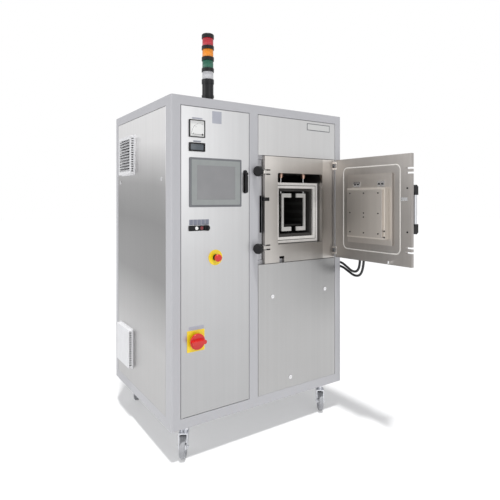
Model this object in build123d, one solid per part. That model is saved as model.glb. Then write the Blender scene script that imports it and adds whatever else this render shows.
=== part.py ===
from build123d import *
import math
import os

# Vacuum retort furnace in a welded cabinet on castors, with its vessel door open.
# Millimetres. While it is modelled, X runs from the cabinet's left side, Y from its
# front face and Z from the floor. Heights on the cabinet count from the frame's underside.

# Cabinet and its welded frame
cabinet_width = 1250
cabinet_depth = 970
frame_height = 1812
castor_height = 188
post_width = 54
post_depth = 74
rear_post = 56
centre_post = 61
centre_post_depth = 65
top_rail = 52
bottom_rail = 56
rail_depth = 50
tube_wall = 3
post_corner_radius = 12
control_bay_width = 445

# Sheet metal
sheet = 2
fold_depth = 25
bend_radius = 1.5
seam = 3
roof_inset = 12

# Vessel bay
flange_left = 611
flange_gap = 6
flange_bottom = 853
flange_height = 659
flange_thickness = 25
mouth_width = 370
mouth_height = 448
mouth_left = 709
mouth_bottom = 963
mouth_corner = 10
vessel_depth = 495
inner_wall = 8
water_gap = 20
jacket_wall = 5
mid_rail = 40

# Hot zone inside the vessel
case_width = 362
case_height = 386
case_length = 390
case_wall = 36
case_front = 45
case_foot = 4
lining_wall = 18
lining_setback = 15
heater_width = 200
heater_height = 244
heater_length = 280
heater_front = 72
heater_leg = 17
heater_arm = 26
heater_gap = 42
heater_plate = 10
hearth_width = 150
hearth_length = 230
hearth_thickness = 10
feedthrough_offset = 94
feedthrough_y = 90
feedthrough_radius = 15

# Vessel door, drawn closed and then swung open
door_open_angle = 91
hinge_x = 1196
hinge_forward = 15
door_gap = 3
door_thickness = 20
door_edge_gap = 2
door_width = 603
door_bottom = 856
door_height = 655
hinge_radius = 9
hinge_pin_radius = 5
hinge_height = 50
hinge_rise = (901, 1473)
jacket_box = (480, 560)
door_jacket_depth = 28
seal_diameter = 7.7
seal_margin = 40
seal_corner = 32
step_plate = 12
plug_base = (304, 312, 32)
plug_front = (280, 290, 15)
handle_span = 254
handle_reach = 62
handle_tube_radius = 14

# Door clamps
clamp_rises = (952, 1413)
clamp_rest_angles = (30, 30)
clamp_pivot_x = 620
clamp_pivot_y = 12
clamp_pin_radius = 5
slot_length = 41
lug_height = 18
arm_thickness = 7
arm_width = 14
arm_reach = 70
bridge_length = 16
knob_radius = 31
knob_length = 30
screw_radius = 6
screw_travel = 3.5
foot_thickness = 5

# Control door and what it carries
control_door_height = 1698
pivot_inset = 9
pivot_setback = 7
pivot_radius = 4
hmi_size = (335, 275)
hmi_centre = (272.5, 1340.5)
hmi_depth = 55
meter_size = 96
meter_centre = (152, 1637)
display_height = 48
display_rise = 1535
instrument_depth = 50
pointer_length = 62
switch_pitch = 31
switch_first = (117, 1087)
switch_bezel = 29.5
switch_barrel = 11
button_travel = 3
estop_centre = (268, 917.5)
estop_shield_radius = 44
estop_head_radius = 21
estop_travel = 6
isolator_centre = (145, 467.5)
isolator_plate_size = (106, 117)
isolator_radius = 44
latch_centre = (467.5, 1350)
latch_size = (24, 138)
latch_spindle_radius = 6

# Filter units on the left side
filter_size = 255
filter_cutout = 224
filter_proud = 28
filter_depth = 62
upper_filter = (695, 1530)
lower_filter = (733, 282)
fan_radius = 92
fan_shaft_radius = 4

# Signal tower on the roof
tower_place = (273, 100)
tower_radius = 36
tower_seat = 1
lamp_radius = 32
lamp_height = 45
tower_collar = 20
tower_foot_height = 130

# Castors
wheel_radius = 62.5
wheel_width = 34
castor_inset = (118, 88)
castor_trail = 38
castor_angles = (-124, -124, 60, 60)
axle_radius = 5
kingpin_radius = 8

# Water hoses of the door
hose_radius = 8

# Fits
running_clearance = 0.06
loose_clearance = 0.5
seat_gap = 0.3

MIN = (Align.MIN, Align.MIN, Align.MIN)
right_post_left = cabinet_width - post_width
centre_left = post_width + control_bay_width
centre_right = centre_left + centre_post
bay_width = right_post_left - centre_right
rear_plane = cabinet_depth - rear_post
flange_right = right_post_left - flange_gap
mouth_centre = mouth_left + mouth_width / 2
hinge_y = -hinge_forward
vessel_wall = inner_wall + water_gap + jacket_wall
roof_level = castor_height + frame_height


def up(height):
    """Height above the floor of a height above the frame's underside."""
    return castor_height + height


def block(x0, x1, y0, y1, z0, z1):
    """A box between two opposite corners."""
    return Pos(x0, y0, z0) * Box(x1 - x0, y1 - y0, z1 - z0, align=MIN)


def rod(radius, length, x, y, z, axis="z"):
    """A cylinder that starts at a point and runs along an axis."""
    turns = {"x": Rot(0, 90, 0), "y": Rot(-90, 0, 0), "z": Rot(0, 0, 0)}
    upright = Cylinder(radius, length, align=(Align.CENTER, Align.CENTER, Align.MIN))
    return Pos(x, y, z) * turns[axis] * upright


def edge_near(shape, x, y):
    """The upright edge of a shape that is nearest to a point in plan."""
    def distance(edge):
        middle = edge.center()
        return math.hypot(middle.X - x, middle.Y - y)
    return sorted(shape.edges().filter_by(Axis.Z), key=distance)[0]


def group(*shapes):
    """Several solids kept apart in one sub-part."""
    return Compound([solid for shape in shapes for solid in shape.solids()])


def tube(x0, x1, y0, y1, z0, z1, along):
    """A square tube that is open at both ends."""
    wall_x, wall_y, wall_z = [0 if name == along else tube_wall for name in "xyz"]
    bore = block(x0 + wall_x, x1 - wall_x, y0 + wall_y, y1 - wall_y, z0 + wall_z, z1 - wall_z)
    return block(x0, x1, y0, y1, z0, z1) - bore


def corner_post(x0, x1, y0, y1, corner_x, corner_y):
    """A full-height post, closed on top, with its outer corner rounded."""
    outer = block(x0, x1, y0, y1, castor_height, roof_level)
    outer = fillet(edge_near(outer, corner_x, corner_y), post_corner_radius)
    bore = block(x0 + tube_wall, x1 - tube_wall, y0 + tube_wall, y1 - tube_wall,
                 castor_height, roof_level - tube_wall)
    bore = fillet(edge_near(bore, corner_x, corner_y), post_corner_radius - tube_wall)
    return outer - bore


def frame():
    """Welded frame: posts, rails, vessel supports, clamp strip and the pivots of the control door."""
    width, depth = cabinet_width, cabinet_depth
    low, high = up(bottom_rail), roof_level - top_rail
    bars = [
        corner_post(0, post_width, 0, post_depth, 0, 0),
        corner_post(right_post_left, width, 0, post_depth, width, 0),
        corner_post(0, post_width, rear_plane, depth, 0, depth),
        corner_post(right_post_left, width, rear_plane, depth, width, depth),
        tube(centre_left, centre_right, 0, centre_post_depth, low, high, "z"),
        tube(centre_left, centre_right, rear_plane, depth - fold_depth - 1, low, high, "z"),
    ]
    for z0, z1 in ((castor_height, low), (high, roof_level)):
        bars.append(tube(post_width, right_post_left, 0, rail_depth, z0, z1, "x"))
        bars.append(tube(post_width, right_post_left, rear_plane, depth, z0, z1, "x"))
        bars.append(tube(0, rail_depth, post_depth, rear_plane, z0, z1, "y"))
        bars.append(tube(width - rail_depth, width, post_depth, rear_plane, z0, z1, "y"))
    for rise in (flange_bottom, flange_bottom + flange_height):
        bars.append(tube(centre_right, right_post_left, fold_depth, centre_post_depth,
                         up(rise - mid_rail / 2), up(rise + mid_rail / 2), "x"))
    support_top = up(mouth_bottom - vessel_wall - 20)
    support_low = support_top - mid_rail
    for x0 in (centre_left + 11, width - fold_depth - mid_rail):
        y0 = centre_post_depth if x0 < centre_right else post_depth
        bars.append(tube(x0, x0 + mid_rail, y0, rear_plane, support_low - mid_rail, support_low, "y"))
    for y0 in (180, 460):
        bars.append(tube(centre_left + 11, width - fold_depth, y0, y0 + mid_rail,
                         support_low, support_top, "x"))
    return group(*bars, *castor_seats(), clamp_strip(), *control_door_pivots())


def castor_seats():
    """Corner plates welded between the bottom rails, which the castors are bolted to."""
    seats = []
    for x, y in castor_places():
        x0, x1 = (rail_depth, x + 62) if x < cabinet_width / 2 else (x - 62, cabinet_width - rail_depth)
        y0, y1 = (rail_depth, y + 57) if y < cabinet_depth / 2 else (y - 57, rear_plane)
        seats.append(block(x0, x1, y0, y1, castor_height, castor_height + 6))
    return seats


def clamp_strip():
    """Set-back strip beside the flange, with a long slot, welded to the centre post."""
    strip = block(centre_right, flange_left - seam, 30, 33, up(flange_bottom + mid_rail / 2 + 2),
                  up(flange_bottom + flange_height - mid_rail / 2 - 2))
    slot = block(flange_left - 19, flange_left - 4, 29, 34, up(1041), up(1269))
    return strip - slot


def control_door_axis():
    """Where the control door's pivots stand, in plan."""
    return post_width + seam + pivot_inset, pivot_setback


def control_door_pivots():
    """Pins on the lower and upper rail that the control door turns on."""
    x, y = control_door_axis()
    low, high = up(bottom_rail), roof_level - top_rail
    lower = rod(pivot_radius, 26, x, y, low) + rod(pivot_radius + 3, seam - seat_gap, x, y, low)
    upper = rod(pivot_radius, 26, x, y, high - 26)
    return lower, upper


def tray(width, height):
    """A sheet panel with folded edges. Its face looks along -Y, its lower left corner is the origin."""
    outer = Box(width, fold_depth, height, align=MIN)
    outer = fillet(outer.faces().sort_by(Axis.Y)[0].edges(), bend_radius)
    return outer - block(sheet, width - sheet, sheet, fold_depth, sheet, height - sheet)


def front_panels():
    """Upper and lower panel of the vessel bay. The lower one has holes for its locks."""
    left, width = centre_right + seam, bay_width - 2 * seam
    upper_low = flange_bottom + flange_height + seam
    upper = tray(width, frame_height - top_rail - seam - upper_low)
    lower = tray(width, flange_bottom - seam - bottom_rail)
    lower_panel = Pos(left, 0, up(bottom_rail)) * lower
    for x, rise in front_lock_places():
        lower_panel -= rod(9.5, 4, x, -1, up(rise), "y")
    return group(Pos(left, 0, up(upper_low)) * upper, lower_panel)


def front_lock_places():
    """Quarter-turn locks of the lower front panel, and the round key lock near its foot."""
    return (668, 647), (1101, 647), (808, 121)


def side_lock_places():
    """Depth and height of the quarter-turn locks on a side panel."""
    return (129, 1360), (861, 1360)


def side_panel_size():
    """Width and height of a side panel between its posts and rails."""
    return rear_plane - post_depth - 2 * seam, frame_height - top_rail - bottom_rail - seam


def on_left(shape, y, z):
    """Turn a shape that faces -Y so that it faces -X, and set it on the left side."""
    return Pos(0, y, z) * Rot(0, 0, -90) * shape


def on_right(shape, y, z):
    """Turn a shape that faces -Y so that it faces +X, and set it on the right side."""
    return Pos(cabinet_width, y, z) * Rot(0, 0, 90) * shape


def left_panel():
    """Left side panel, cut out for both filter units and drilled for its locks."""
    width, height = side_panel_size()
    panel = on_left(tray(width, height), rear_plane - seam, up(bottom_rail))
    for y, rise in (upper_filter, lower_filter):
        half = filter_cutout / 2
        panel -= block(-1, fold_depth - 1, y - half, y + half, up(rise) - half, up(rise) + half)
    for y, rise in side_lock_places():
        panel -= rod(9.5, 4, -1, y, up(rise), "x")
    return panel


def right_panel():
    """Right side panel, drilled for its locks and for the two water elbows."""
    width, height = side_panel_size()
    panel = on_right(tray(width, height), post_depth + seam, up(bottom_rail))
    for y, rise in side_lock_places():
        panel -= rod(9.5, 4, cabinet_width - 3, y, up(rise), "x")
    for rise in elbow_rises():
        panel -= rod(9, 4, cabinet_width - 3, elbow_y(), up(rise), "x")
    return panel


def rear_panel():
    """Rear panel, with rows of vent slots and holes for the media connections."""
    width = right_post_left - post_width - 2 * seam
    height = frame_height - top_rail - bottom_rail - seam
    panel = tray(width, height)
    panel = Pos(right_post_left - seam, cabinet_depth, up(bottom_rail)) * Rot(0, 0, 180) * panel
    for row in range(8):
        for x in (300, 820):
            z = up(1450 + 26 * row)
            slot = block(x - 60, x + 60, cabinet_depth - 3, cabinet_depth + 1, z - 4, z + 4)
            panel -= slot
    for x, rise, bore, body in rear_connection_places():
        panel -= rod(body + seat_gap, 4, x, cabinet_depth - 3, up(rise), "y")
    return panel


def roof_panel():
    """Roof sheet on the top rails, with two stiffening ribs below and a seat for the tower."""
    low = roof_level
    top = block(roof_inset, cabinet_width - roof_inset, roof_inset, cabinet_depth - roof_inset,
                low, low + sheet)
    top = fillet(top.edges().filter_by(Axis.Z), post_corner_radius)
    for x in (420, 860):
        top += block(x, x + 30, rail_depth + 10, rear_plane - 10, low - 15, low)
    return top + rod(tower_radius + 2, tower_seat, *tower_place, low + sheet)


def base_plate():
    """Floor of the cabinet on the bottom rails, notched round the posts, with a cable cut-out."""
    low = up(bottom_rail)
    plate = block(30, cabinet_width - 30, 30, cabinet_depth - 30, low, low + 3)
    high = low + 4
    for x0, x1 in ((0, post_width + 1), (right_post_left - 1, cabinet_width)):
        plate -= block(x0, x1, 0, post_depth + 1, low - 1, high)
        plate -= block(x0, x1, rear_plane - 1, cabinet_depth, low - 1, high)
    plate -= block(centre_left - 1, centre_right + 1, 0, centre_post_depth + 1, low - 1, high)
    plate -= block(centre_left - 1, centre_right + 1, rear_plane - 1, cabinet_depth, low - 1, high)
    plate -= block(150, 350, 780, 860, low - 1, high)
    return plate


def partition_wall():
    """Sheet wall between the control bay and the vessel bay, against the supporting rail."""
    x = centre_left + 11
    return block(x - sheet, x, centre_post_depth + 1, rear_plane - 1, up(bottom_rail) + 3,
                 roof_level - top_rail)


def ring_plate(width, height, thickness, corner):
    """A plate in the XZ plane with rounded corners, centred on the origin, from Y=0 backwards."""
    outline = RectangleRounded(width, height, corner)
    return Rot(90, 0, 0) * Pos(0, 0, -thickness) * extrude(outline, thickness)


def vessel_flange():
    """Flange plate of the vessel with its mouth, clamp slots, lugs and pins, and hinge ears."""
    low, high = up(flange_bottom), up(flange_bottom + flange_height)
    plate = block(flange_left, flange_right, 0, flange_thickness, low, high)
    mouth = ring_plate(mouth_width, mouth_height, flange_thickness + 2, mouth_corner)
    plate -= Pos(mouth_centre, -1, up(mouth_bottom + mouth_height / 2)) * mouth
    plate -= block(722, 760, -1, flange_thickness + 1, low - 1, low + 38)
    block_low, block_high = up(interlock_rise() - 11), up(interlock_rise() + 11)
    plate -= block(flange_left - 1, interlock_right(), -1, flange_thickness + 1, block_low, block_high)
    for rise in clamp_rises:
        for side in (-1, 1):
            middle = up(rise) + side * (lug_height / 2 + arm_thickness / 2 + loose_clearance)
            half = arm_thickness / 2 + loose_clearance
            plate -= block(flange_left - 1, flange_left + slot_length, -1, flange_thickness + 1,
                           middle - half, middle + half)
        pin_length = lug_height + 2 * (arm_thickness + 2 * loose_clearance) + 10
        plate += rod(clamp_pin_radius, pin_length, clamp_pivot_x, clamp_pivot_y,
                     up(rise) - pin_length / 2)
        plate += lug(rise)
    for rise in hinge_rise:
        half = hinge_height / 2
        plate -= block(flange_right - 18, flange_right + 1, -1, flange_thickness + 1,
                       up(rise) - half, up(rise) + half)
        plate += hinge_ears(rise)
    return plate


def lug(rise):
    """Rounded nose of the tongue between two clamp slots."""
    x0, middle = flange_left - 11, up(rise) - lug_height / 2
    nose = block(x0, flange_left, 0, flange_thickness, middle, middle + lug_height)
    return fillet(nose.edges().filter_by(Axis.Z).filter_by(lambda e: e.center().X < x0 + 1), 8)


def hinge_ears(rise):
    """Two fixed ears of a door hinge with the pin between them, rooted in a flange pocket."""
    ear = hinge_height / 2 - 14
    z = up(rise) - hinge_height / 2
    parts = rod(hinge_pin_radius, hinge_height, hinge_x, hinge_y, z)
    for low in (z, z + hinge_height - ear):
        parts += rod(hinge_radius, ear, hinge_x, hinge_y, low)
        parts += block(hinge_x - hinge_radius, right_post_left - 1, hinge_y, 4, low, low + ear)
        parts += block(flange_right - 18, right_post_left - 1, 2, flange_thickness - 2, low, low + ear)
    return parts


def interlock_rise():
    """Height of the door's interlock switch."""
    return flange_bottom + 394


def interlock_right():
    """Where the pocket of the interlock switch ends in the flange."""
    return flange_left + 34


def interlock_switch():
    """Black switch block in its flange pocket. The door's key plate lies before it when closed."""
    half = 10.5
    body = block(flange_left - 7, interlock_right(), 0.5, flange_thickness, up(interlock_rise()) - half,
                 up(interlock_rise()) + half)
    body = chamfer(body.faces().sort_by(Axis.Y)[0].edges(), 1)
    slot = block(interlock_right() - 14, interlock_right() - 6, 0, 8, up(interlock_rise()) - 2,
                 up(interlock_rise()) + 2)
    return body - slot


def vessel_shell():
    """Double-walled water-cooled vessel behind the flange, with nozzles, ports and saddle feet."""
    x0, x1 = mouth_left, mouth_left + mouth_width
    z0, z1 = up(mouth_bottom), up(mouth_bottom + mouth_height)
    y0, y1 = flange_thickness, flange_thickness + vessel_depth
    wall, skin = vessel_wall, inner_wall
    body = block(x0 - wall, x1 + wall, y0, y1 + wall, z0 - wall, z1 + wall)
    body = fillet(body.edges().filter_by(Axis.Y), 18)
    outer_gap = block(x0 - wall + jacket_wall, x1 + wall - jacket_wall, y0 + skin,
                      y1 + wall - jacket_wall, z0 - wall + jacket_wall, z1 + wall - jacket_wall)
    inner_gap = block(x0 - skin, x1 + skin, y0, y1 + skin, z0 - skin, z1 + skin)
    body -= outer_gap - inner_gap
    body -= block(x0, x1, y0 - 1, y1, z0, z1)
    for side in (-1, 1):
        x = mouth_centre + side * feedthrough_offset
        sleeve = rod(feedthrough_radius + 6, wall + 10, x, feedthrough_y, z1)
        body += sleeve
        body -= rod(feedthrough_radius + loose_clearance, wall + 12, x, feedthrough_y, z1 - 1)
    for side, z in ((-1, z0 + 20), (1, z1 - 20)):
        x = mouth_centre + side * (mouth_width / 2 - 30)
        body += rod(11, 30, x, y1 + wall, z, "y")
        body -= rod(7, 30 + jacket_wall + 2, x, y1 + wall - jacket_wall - 1, z, "y")
    rear_z = (z0 + z1) / 2
    body += rod(20, 60, mouth_centre, y1, rear_z, "y")
    body += rod(30, 8, mouth_centre, y1 + 52, rear_z, "y")
    body -= rod(12, 70, mouth_centre, y1 - 1, rear_z, "y")
    body += rod(vacuum_bore() + 6, wall + 14, mouth_centre, vacuum_y(), z0 - wall - 14)
    body -= rod(vacuum_bore(), wall + 16, mouth_centre, vacuum_y(), z0 - wall - 15)
    for x in (x0 - wall + 20, x1 + wall - 60):
        for y in (180, 460):
            body += block(x, x + 40, y, y + mid_rail, z0 - wall - 20, z0 - wall + 1)
    return body


def vacuum_bore():
    """Bore radius of the vacuum line."""
    return 24


def vacuum_y():
    """Depth at which the vacuum line leaves the vessel's floor."""
    return 350


def case_edges():
    """Low and high corner of the hot zone's case."""
    z0 = up(mouth_bottom + case_foot)
    return (mouth_centre - case_width / 2, case_front, z0,
            mouth_centre + case_width / 2, case_front + case_length, z0 + case_height)


def insulation_case():
    """Light case of the hot zone, open in front, with a groove round its rim, on two runners."""
    x0, y0, z0, x1, y1, z1 = case_edges()
    wall = case_wall
    case = block(x0, x1, y0, y1, z0, z1)
    case -= block(x0 + wall, x1 - wall, y0 - 1, y1 - wall, z0 + wall, z1 - wall)
    middle = wall / 2
    groove = block(x0 + middle - 2, x1 - middle + 2, y0 - 1, y0 + 4, z0 + middle - 2, z1 - middle + 2)
    groove -= block(x0 + middle + 2, x1 - middle - 2, y0 - 2, y0 + 5, z0 + middle + 2, z1 - middle - 2)
    case -= groove
    for x in (x0 + 30, x1 - 50):
        case += block(x, x + 20, y0 + 20, y1 - 20, z0 - case_foot, z0)
    for side in (-1, 1):
        x = mouth_centre + side * feedthrough_offset
        case -= rod(lead_radius() + 2, wall + 2, x, feedthrough_y, z1 - wall - 1)
    return case


def lead_radius():
    """Radius of the current leads that drop from the feedthroughs."""
    return 3


def lining_edges():
    """Low and high corner of the felt lining."""
    x0, y0, z0, x1, y1, z1 = case_edges()
    return (x0 + case_wall, y0 + lining_setback, z0 + case_wall,
            x1 - case_wall, y1 - case_wall, z1 - case_wall)


def felt_lining():
    """Dark graphite felt inside the case, open in front, with joints that divide its walls."""
    x0, y0, z0, x1, y1, z1 = lining_edges()
    wall = lining_wall
    lining = block(x0, x1, y0, y1, z0, z1)
    lining -= block(x0 + wall, x1 - wall, y0 - 1, y1 - wall, z0 + wall, z1 - wall)
    for row in range(1, 5):
        z = z0 + wall + row * (z1 - z0 - 2 * wall) / 5
        lining -= block(x0 + wall - 1.5, x1 - wall + 1.5, y0 + 4, y1 - wall + 1.5, z - 1, z + 1)
    for side in (-1, 1):
        x = mouth_centre + side * feedthrough_offset
        lining -= rod(lead_radius() + 2, wall + 2, x, feedthrough_y, z1 - wall - 1)
    return lining


def heater_centre():
    """Height of the middle of the two heating elements."""
    x0, y0, z0, x1, y1, z1 = lining_edges()
    return (z0 + z1) / 2 + 2


def heater_half(side):
    """One C-shaped heating element: front and rear C plates joined by strips along the chamber."""
    half_height, half_gap = heater_height / 2, heater_gap / 2
    outer_x, inner_x = heater_width / 2, heater_width / 2 - heater_leg
    outline = [
        (half_gap, half_height), (outer_x, half_height), (outer_x, -half_height),
        (half_gap, -half_height), (half_gap, heater_arm - half_height),
        (inner_x, heater_arm - half_height), (inner_x, half_height - heater_arm),
        (half_gap, half_height - heater_arm),
    ]
    plate = make_face(Polyline(*outline, close=True))
    element = None
    for y in (0, heater_length - heater_plate):
        slab = Pos(0, y, 0) * Rot(90, 0, 0) * Pos(0, 0, -heater_plate) * extrude(plate, heater_plate)
        element = slab if element is None else element + slab
    for row in range(-2, 3):
        z = row * (half_height - heater_arm / 2) / 2
        element += block(outer_x - 8, outer_x - 2, 0, heater_length, z - 9, z + 9)
    for z in (half_height - 6, -half_height):
        element += block(outer_x - 12, outer_x - 2, 0, heater_length, z, z + 6)
    if side < 0:
        element = mirror(element, about=Plane.YZ)
    return Pos(mouth_centre, heater_front, heater_centre()) * element


def heating_elements():
    """Left and right heating element."""
    return group(heater_half(-1), heater_half(1))


def feedthroughs():
    """Two copper current feedthroughs in the vessel's roof, each with a lead to its heater."""
    ceiling = up(mouth_bottom + mouth_height)
    heater_top = heater_centre() + heater_height / 2
    pieces = []
    for side in (-1, 1):
        x = mouth_centre + side * feedthrough_offset
        body = rod(feedthrough_radius, vessel_wall + 30, x, feedthrough_y, ceiling - 20)
        body += rod(feedthrough_radius - 4, 8, x, feedthrough_y, ceiling - 28)
        body += rod(feedthrough_radius + 13, 8, x, feedthrough_y, ceiling + vessel_wall + 10)
        body += rod(lead_radius(), ceiling - 27 - heater_top, x, feedthrough_y, heater_top)
        pieces.append(body)
    return group(*pieces)


def hearth():
    """Grooved hearth plate on two posts that stand on the lining between the heaters."""
    x0, y0, z0, x1, y1, z1 = lining_edges()
    floor = z0 + lining_wall
    top = heater_centre() - heater_height / 2 + heater_arm + hearth_thickness + 6
    half = hearth_width / 2
    front = heater_front + 20
    plate = block(mouth_centre - half, mouth_centre + half, front, front + hearth_length,
                  top - hearth_thickness, top)
    for column in range(-2, 3):
        x = mouth_centre + column * 26
        plate -= block(x - 3, x + 3, front - 1, front + hearth_length + 1, top - 3, top + 1)
    for y in (front + 40, front + hearth_length - 40):
        plate += rod(9, top - hearth_thickness - floor, mouth_centre, y, floor)
    return plate


def vacuum_pump_set():
    """Vacuum line straight down from the vessel, with its valve, and the pump on the cabinet floor."""
    x, y, floor = mouth_centre, vacuum_y(), up(bottom_rail) + 3
    top = up(mouth_bottom) - vessel_wall - 14
    pump_top = floor + 290
    outer = vacuum_bore() + 3
    line = rod(outer, top - pump_top, x, y, pump_top)
    for z in (top - 12, pump_top):
        line += rod(outer + 14, 12, x, y, z)
    valve = pump_top + 130
    line += rod(outer + 22, 90, x, y, valve)
    line += rod(30, 110, x, y, valve + 45, "y")
    line -= rod(vacuum_bore(), top - pump_top + 2, x, y, pump_top - 1)
    pump = block(x - 90, x + 90, y - 110, y + 110, floor + 30, pump_top)
    pump = fillet(pump.edges().filter_by(Axis.Y), 20)
    motor = rod(80, 200, x, y + 110, floor + 150, "y")
    for fin in range(5):
        motor += rod(88, 6, x, y + 130 + 34 * fin, floor + 150, "y")
    pump += motor
    for dy in (-90, 90, 260):
        pump += block(x - 95, x + 95, y + dy - 10, y + dy + 10, floor, floor + 70)
    return group(line, pump)


def rear_connection_places():
    """X, height, bore radius and body radius of the media connections in the rear panel."""
    return ((980, 420, 9.5, 15), (1060, 420, 9.5, 15), (980, 520, 3, 8), (1090, 540, 20, 24),
            (200, 300, 11, 18))


def rear_connection(x, rise, bore, body):
    """A bulkhead connection: flange against the panel, stub to the outside, tail to the inside."""
    z = up(rise)
    part = rod(body, 42, x, cabinet_depth - 20, z, "y")
    part += rod(body + 6, 8, x, cabinet_depth, z, "y")
    return part - rod(bore, 44, x, cabinet_depth - 21, z, "y")


def elbow_rises():
    """Heights of the two elbows that feed the door's hoses."""
    return 812, 784


def elbow_y():
    """Depth of the two elbows."""
    return 96


def elbow(rise):
    """A water elbow on the right side: through the panel, then forward to the hose."""
    z = up(rise)
    reach = hose_start_x() - cabinet_width
    part = rod(8.5, reach + 14, cabinet_width - 14, elbow_y(), z, "x")
    part += rod(12, 5, cabinet_width, elbow_y(), z, "x")
    tail_y = hose_start_y()
    part += rod(hose_radius + 2, elbow_y() - tail_y + 8, hose_start_x(), tail_y, z, "y")
    return part


def hose_start_x():
    """How far out from the cabinet the hoses start."""
    return cabinet_width + 20


def hose_start_y():
    """Depth at which the hoses leave their elbows."""
    return elbow_y() - 26


def water_fittings():
    """Media connections at the rear and the two elbows on the right side."""
    rear = [rear_connection(*place) for place in rear_connection_places()]
    return group(*rear, *[elbow(rise) for rise in elbow_rises()])


def control_assembly():
    """Mounting plate on the partition with ducts, rails, breakers, contactors, drive and transformer."""
    wall = centre_left + 11 - sheet
    face = wall - 21
    plate = block(face - 3, face, 100, 880, up(250), up(1680))
    for y in (130, 850):
        for z in (up(300), up(960), up(1630)):
            plate += rod(8, wall - face, face, y, z, "x")
    pieces = [plate]
    front = face - 3
    for row in (420, 760, 1100, 1440):
        pieces.append(block(front - 60, front, 120, 860, up(row), up(row + 50)))
    for row, count, depth in ((560, 9, 70), (900, 12, 75), (1240, 6, 95)):
        rail = block(front - 8, front, 140, 840, up(row), up(row + 35))
        pieces.append(rail)
        pitch = 680 / count
        bank = block(front - 8 - depth, front - 8, 150, 150 + 680, up(row - 20), up(row + 60))
        for cut in range(1, count):
            y = 150 + cut * pitch
            bank -= block(front - 9 - depth, front - 30, y - 2, y + 2, up(row - 21), up(row + 61))
        pieces.append(bank)
    pieces.append(block(front - 140, front, 200, 420, up(1510), up(1660)))
    floor = up(bottom_rail) + 3
    core = block(130, 400, 300, 520, floor, floor + 220)
    core -= block(170, 210, 290, 530, floor + 50, floor + 170)
    core -= block(320, 360, 290, 530, floor + 50, floor + 170)
    pieces.append(core)
    return group(*pieces)


def square_ring(size, opening, y0, y1, corner=4):
    """A square ring in the XZ plane, centred, between two depths."""
    outer = Pos(0, y0, 0) * ring_plate(size, size, y1 - y0, corner)
    return outer - block(-opening / 2, opening / 2, y0 - 1, y1 + 1, -opening / 2, opening / 2)


def toothed_sides(cover, size):
    """Cut the air gaps between the teeth on two upright sides of a filter cover."""
    teeth = 15
    pitch = (size - 24) / teeth
    for tooth in range(teeth):
        z = -size / 2 + 12 + (tooth + 0.5) * pitch
        for side in (-1, 1):
            x = side * size / 2
            cover -= block(x - 8, x + 8, -filter_proud + 5, -8, z - pitch / 4, z + pitch / 4)
    return cover


def filter_housing():
    """The part of a filter unit behind the panel, which fills the panel's cut-out."""
    return square_ring(filter_cutout - 2 * loose_clearance, filter_cutout - 10, 0, filter_depth)


def louvre_unit():
    """Upper filter fan: toothed cover with slanted slats, and the spider that holds the motor."""
    cover_size = filter_size - 10
    cover = square_ring(filter_size, filter_cutout - 14, -6, 0, 6)
    cover += square_ring(cover_size, cover_size - 10, -filter_proud + 3, -6, 6)
    cover += square_ring(cover_size, 204, -filter_proud, -filter_proud + 4, 6)
    cover = toothed_sides(cover, cover_size)
    slats = 11
    for slat in range(slats):
        z = -102 + (slat + 0.5) * 204 / slats
        cover += Pos(0, -filter_proud + 9, z) * Rot(40, 0, 0) * Box(206, 20, 1.6)
    unit = cover + filter_housing()
    half = filter_cutout / 2 - 3
    for turn in (0, 90):
        arm = block(-half, half, 40, 46, -5, 5)
        unit += Rot(0, turn, 0) * arm
    unit += rod(34, 26, 0, 34, 0, "y")
    unit -= rod(fan_shaft_radius + running_clearance, 30, 0, 33, 0, "y")
    return on_left(unit, upper_filter[0], up(upper_filter[1]))


def vent_unit():
    """Lower exhaust filter: plain cover that stands off on toothed sides."""
    cover_size = filter_size - 10
    cover = square_ring(filter_size, filter_cutout - 14, -6, 0, 6)
    cover += square_ring(cover_size, cover_size - 10, -filter_proud + 4, -6, 6)
    cap = Pos(0, -filter_proud, 0) * ring_plate(cover_size, cover_size, 5, 10)
    cap = fillet(cap.faces().sort_by(Axis.Y)[0].edges(), 3)
    cover = toothed_sides(cover + cap, cover_size)
    return on_left(cover + filter_housing(), lower_filter[0], up(lower_filter[1]))


def filter_grilles():
    """Both filter units of the left side."""
    return group(louvre_unit(), vent_unit())


def fan_rotor():
    """Fan wheel with slanted blades and its shaft."""
    hub = rod(32, 22, 0, 8, 0, "y")
    rotor = hub + rod(fan_shaft_radius, 28, 0, 29, 0, "y")
    blades = 7
    for blade in range(blades):
        leaf = Pos((fan_radius + 26) / 2, 19, 0) * Rot(35, 0, 0) * Box(fan_radius - 26, 2, 24)
        rotor += Rot(0, blade * 360 / blades, 0) * leaf
    return on_left(rotor, upper_filter[0], up(upper_filter[1]))


def quarter_turn_lock():
    """A lock that faces -Y: rim outside, body through the panel, cam inside, slot for the key."""
    lock = rod(12, 3, 0, -3, 0, "y")
    lock += rod(9, 20, 0, 0, 0, "y")
    lock += block(-7, 7, 20, 23, -28, 9)
    return lock - block(-7, 7, -4, 0, -1.5, 1.5)


def panel_locks():
    """Quarter-turn locks of the lower front panel and of both side panels."""
    locks = [Pos(x, 0, up(rise)) * quarter_turn_lock() for x, rise in front_lock_places()]
    for y, rise in side_lock_places():
        locks.append(on_left(quarter_turn_lock(), y, up(rise)))
        locks.append(on_right(quarter_turn_lock(), y, up(rise)))
    return group(*locks)


def tower_level():
    """Height at which the signal tower stands, on its raised seat."""
    return roof_level + sheet + tower_seat


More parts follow.
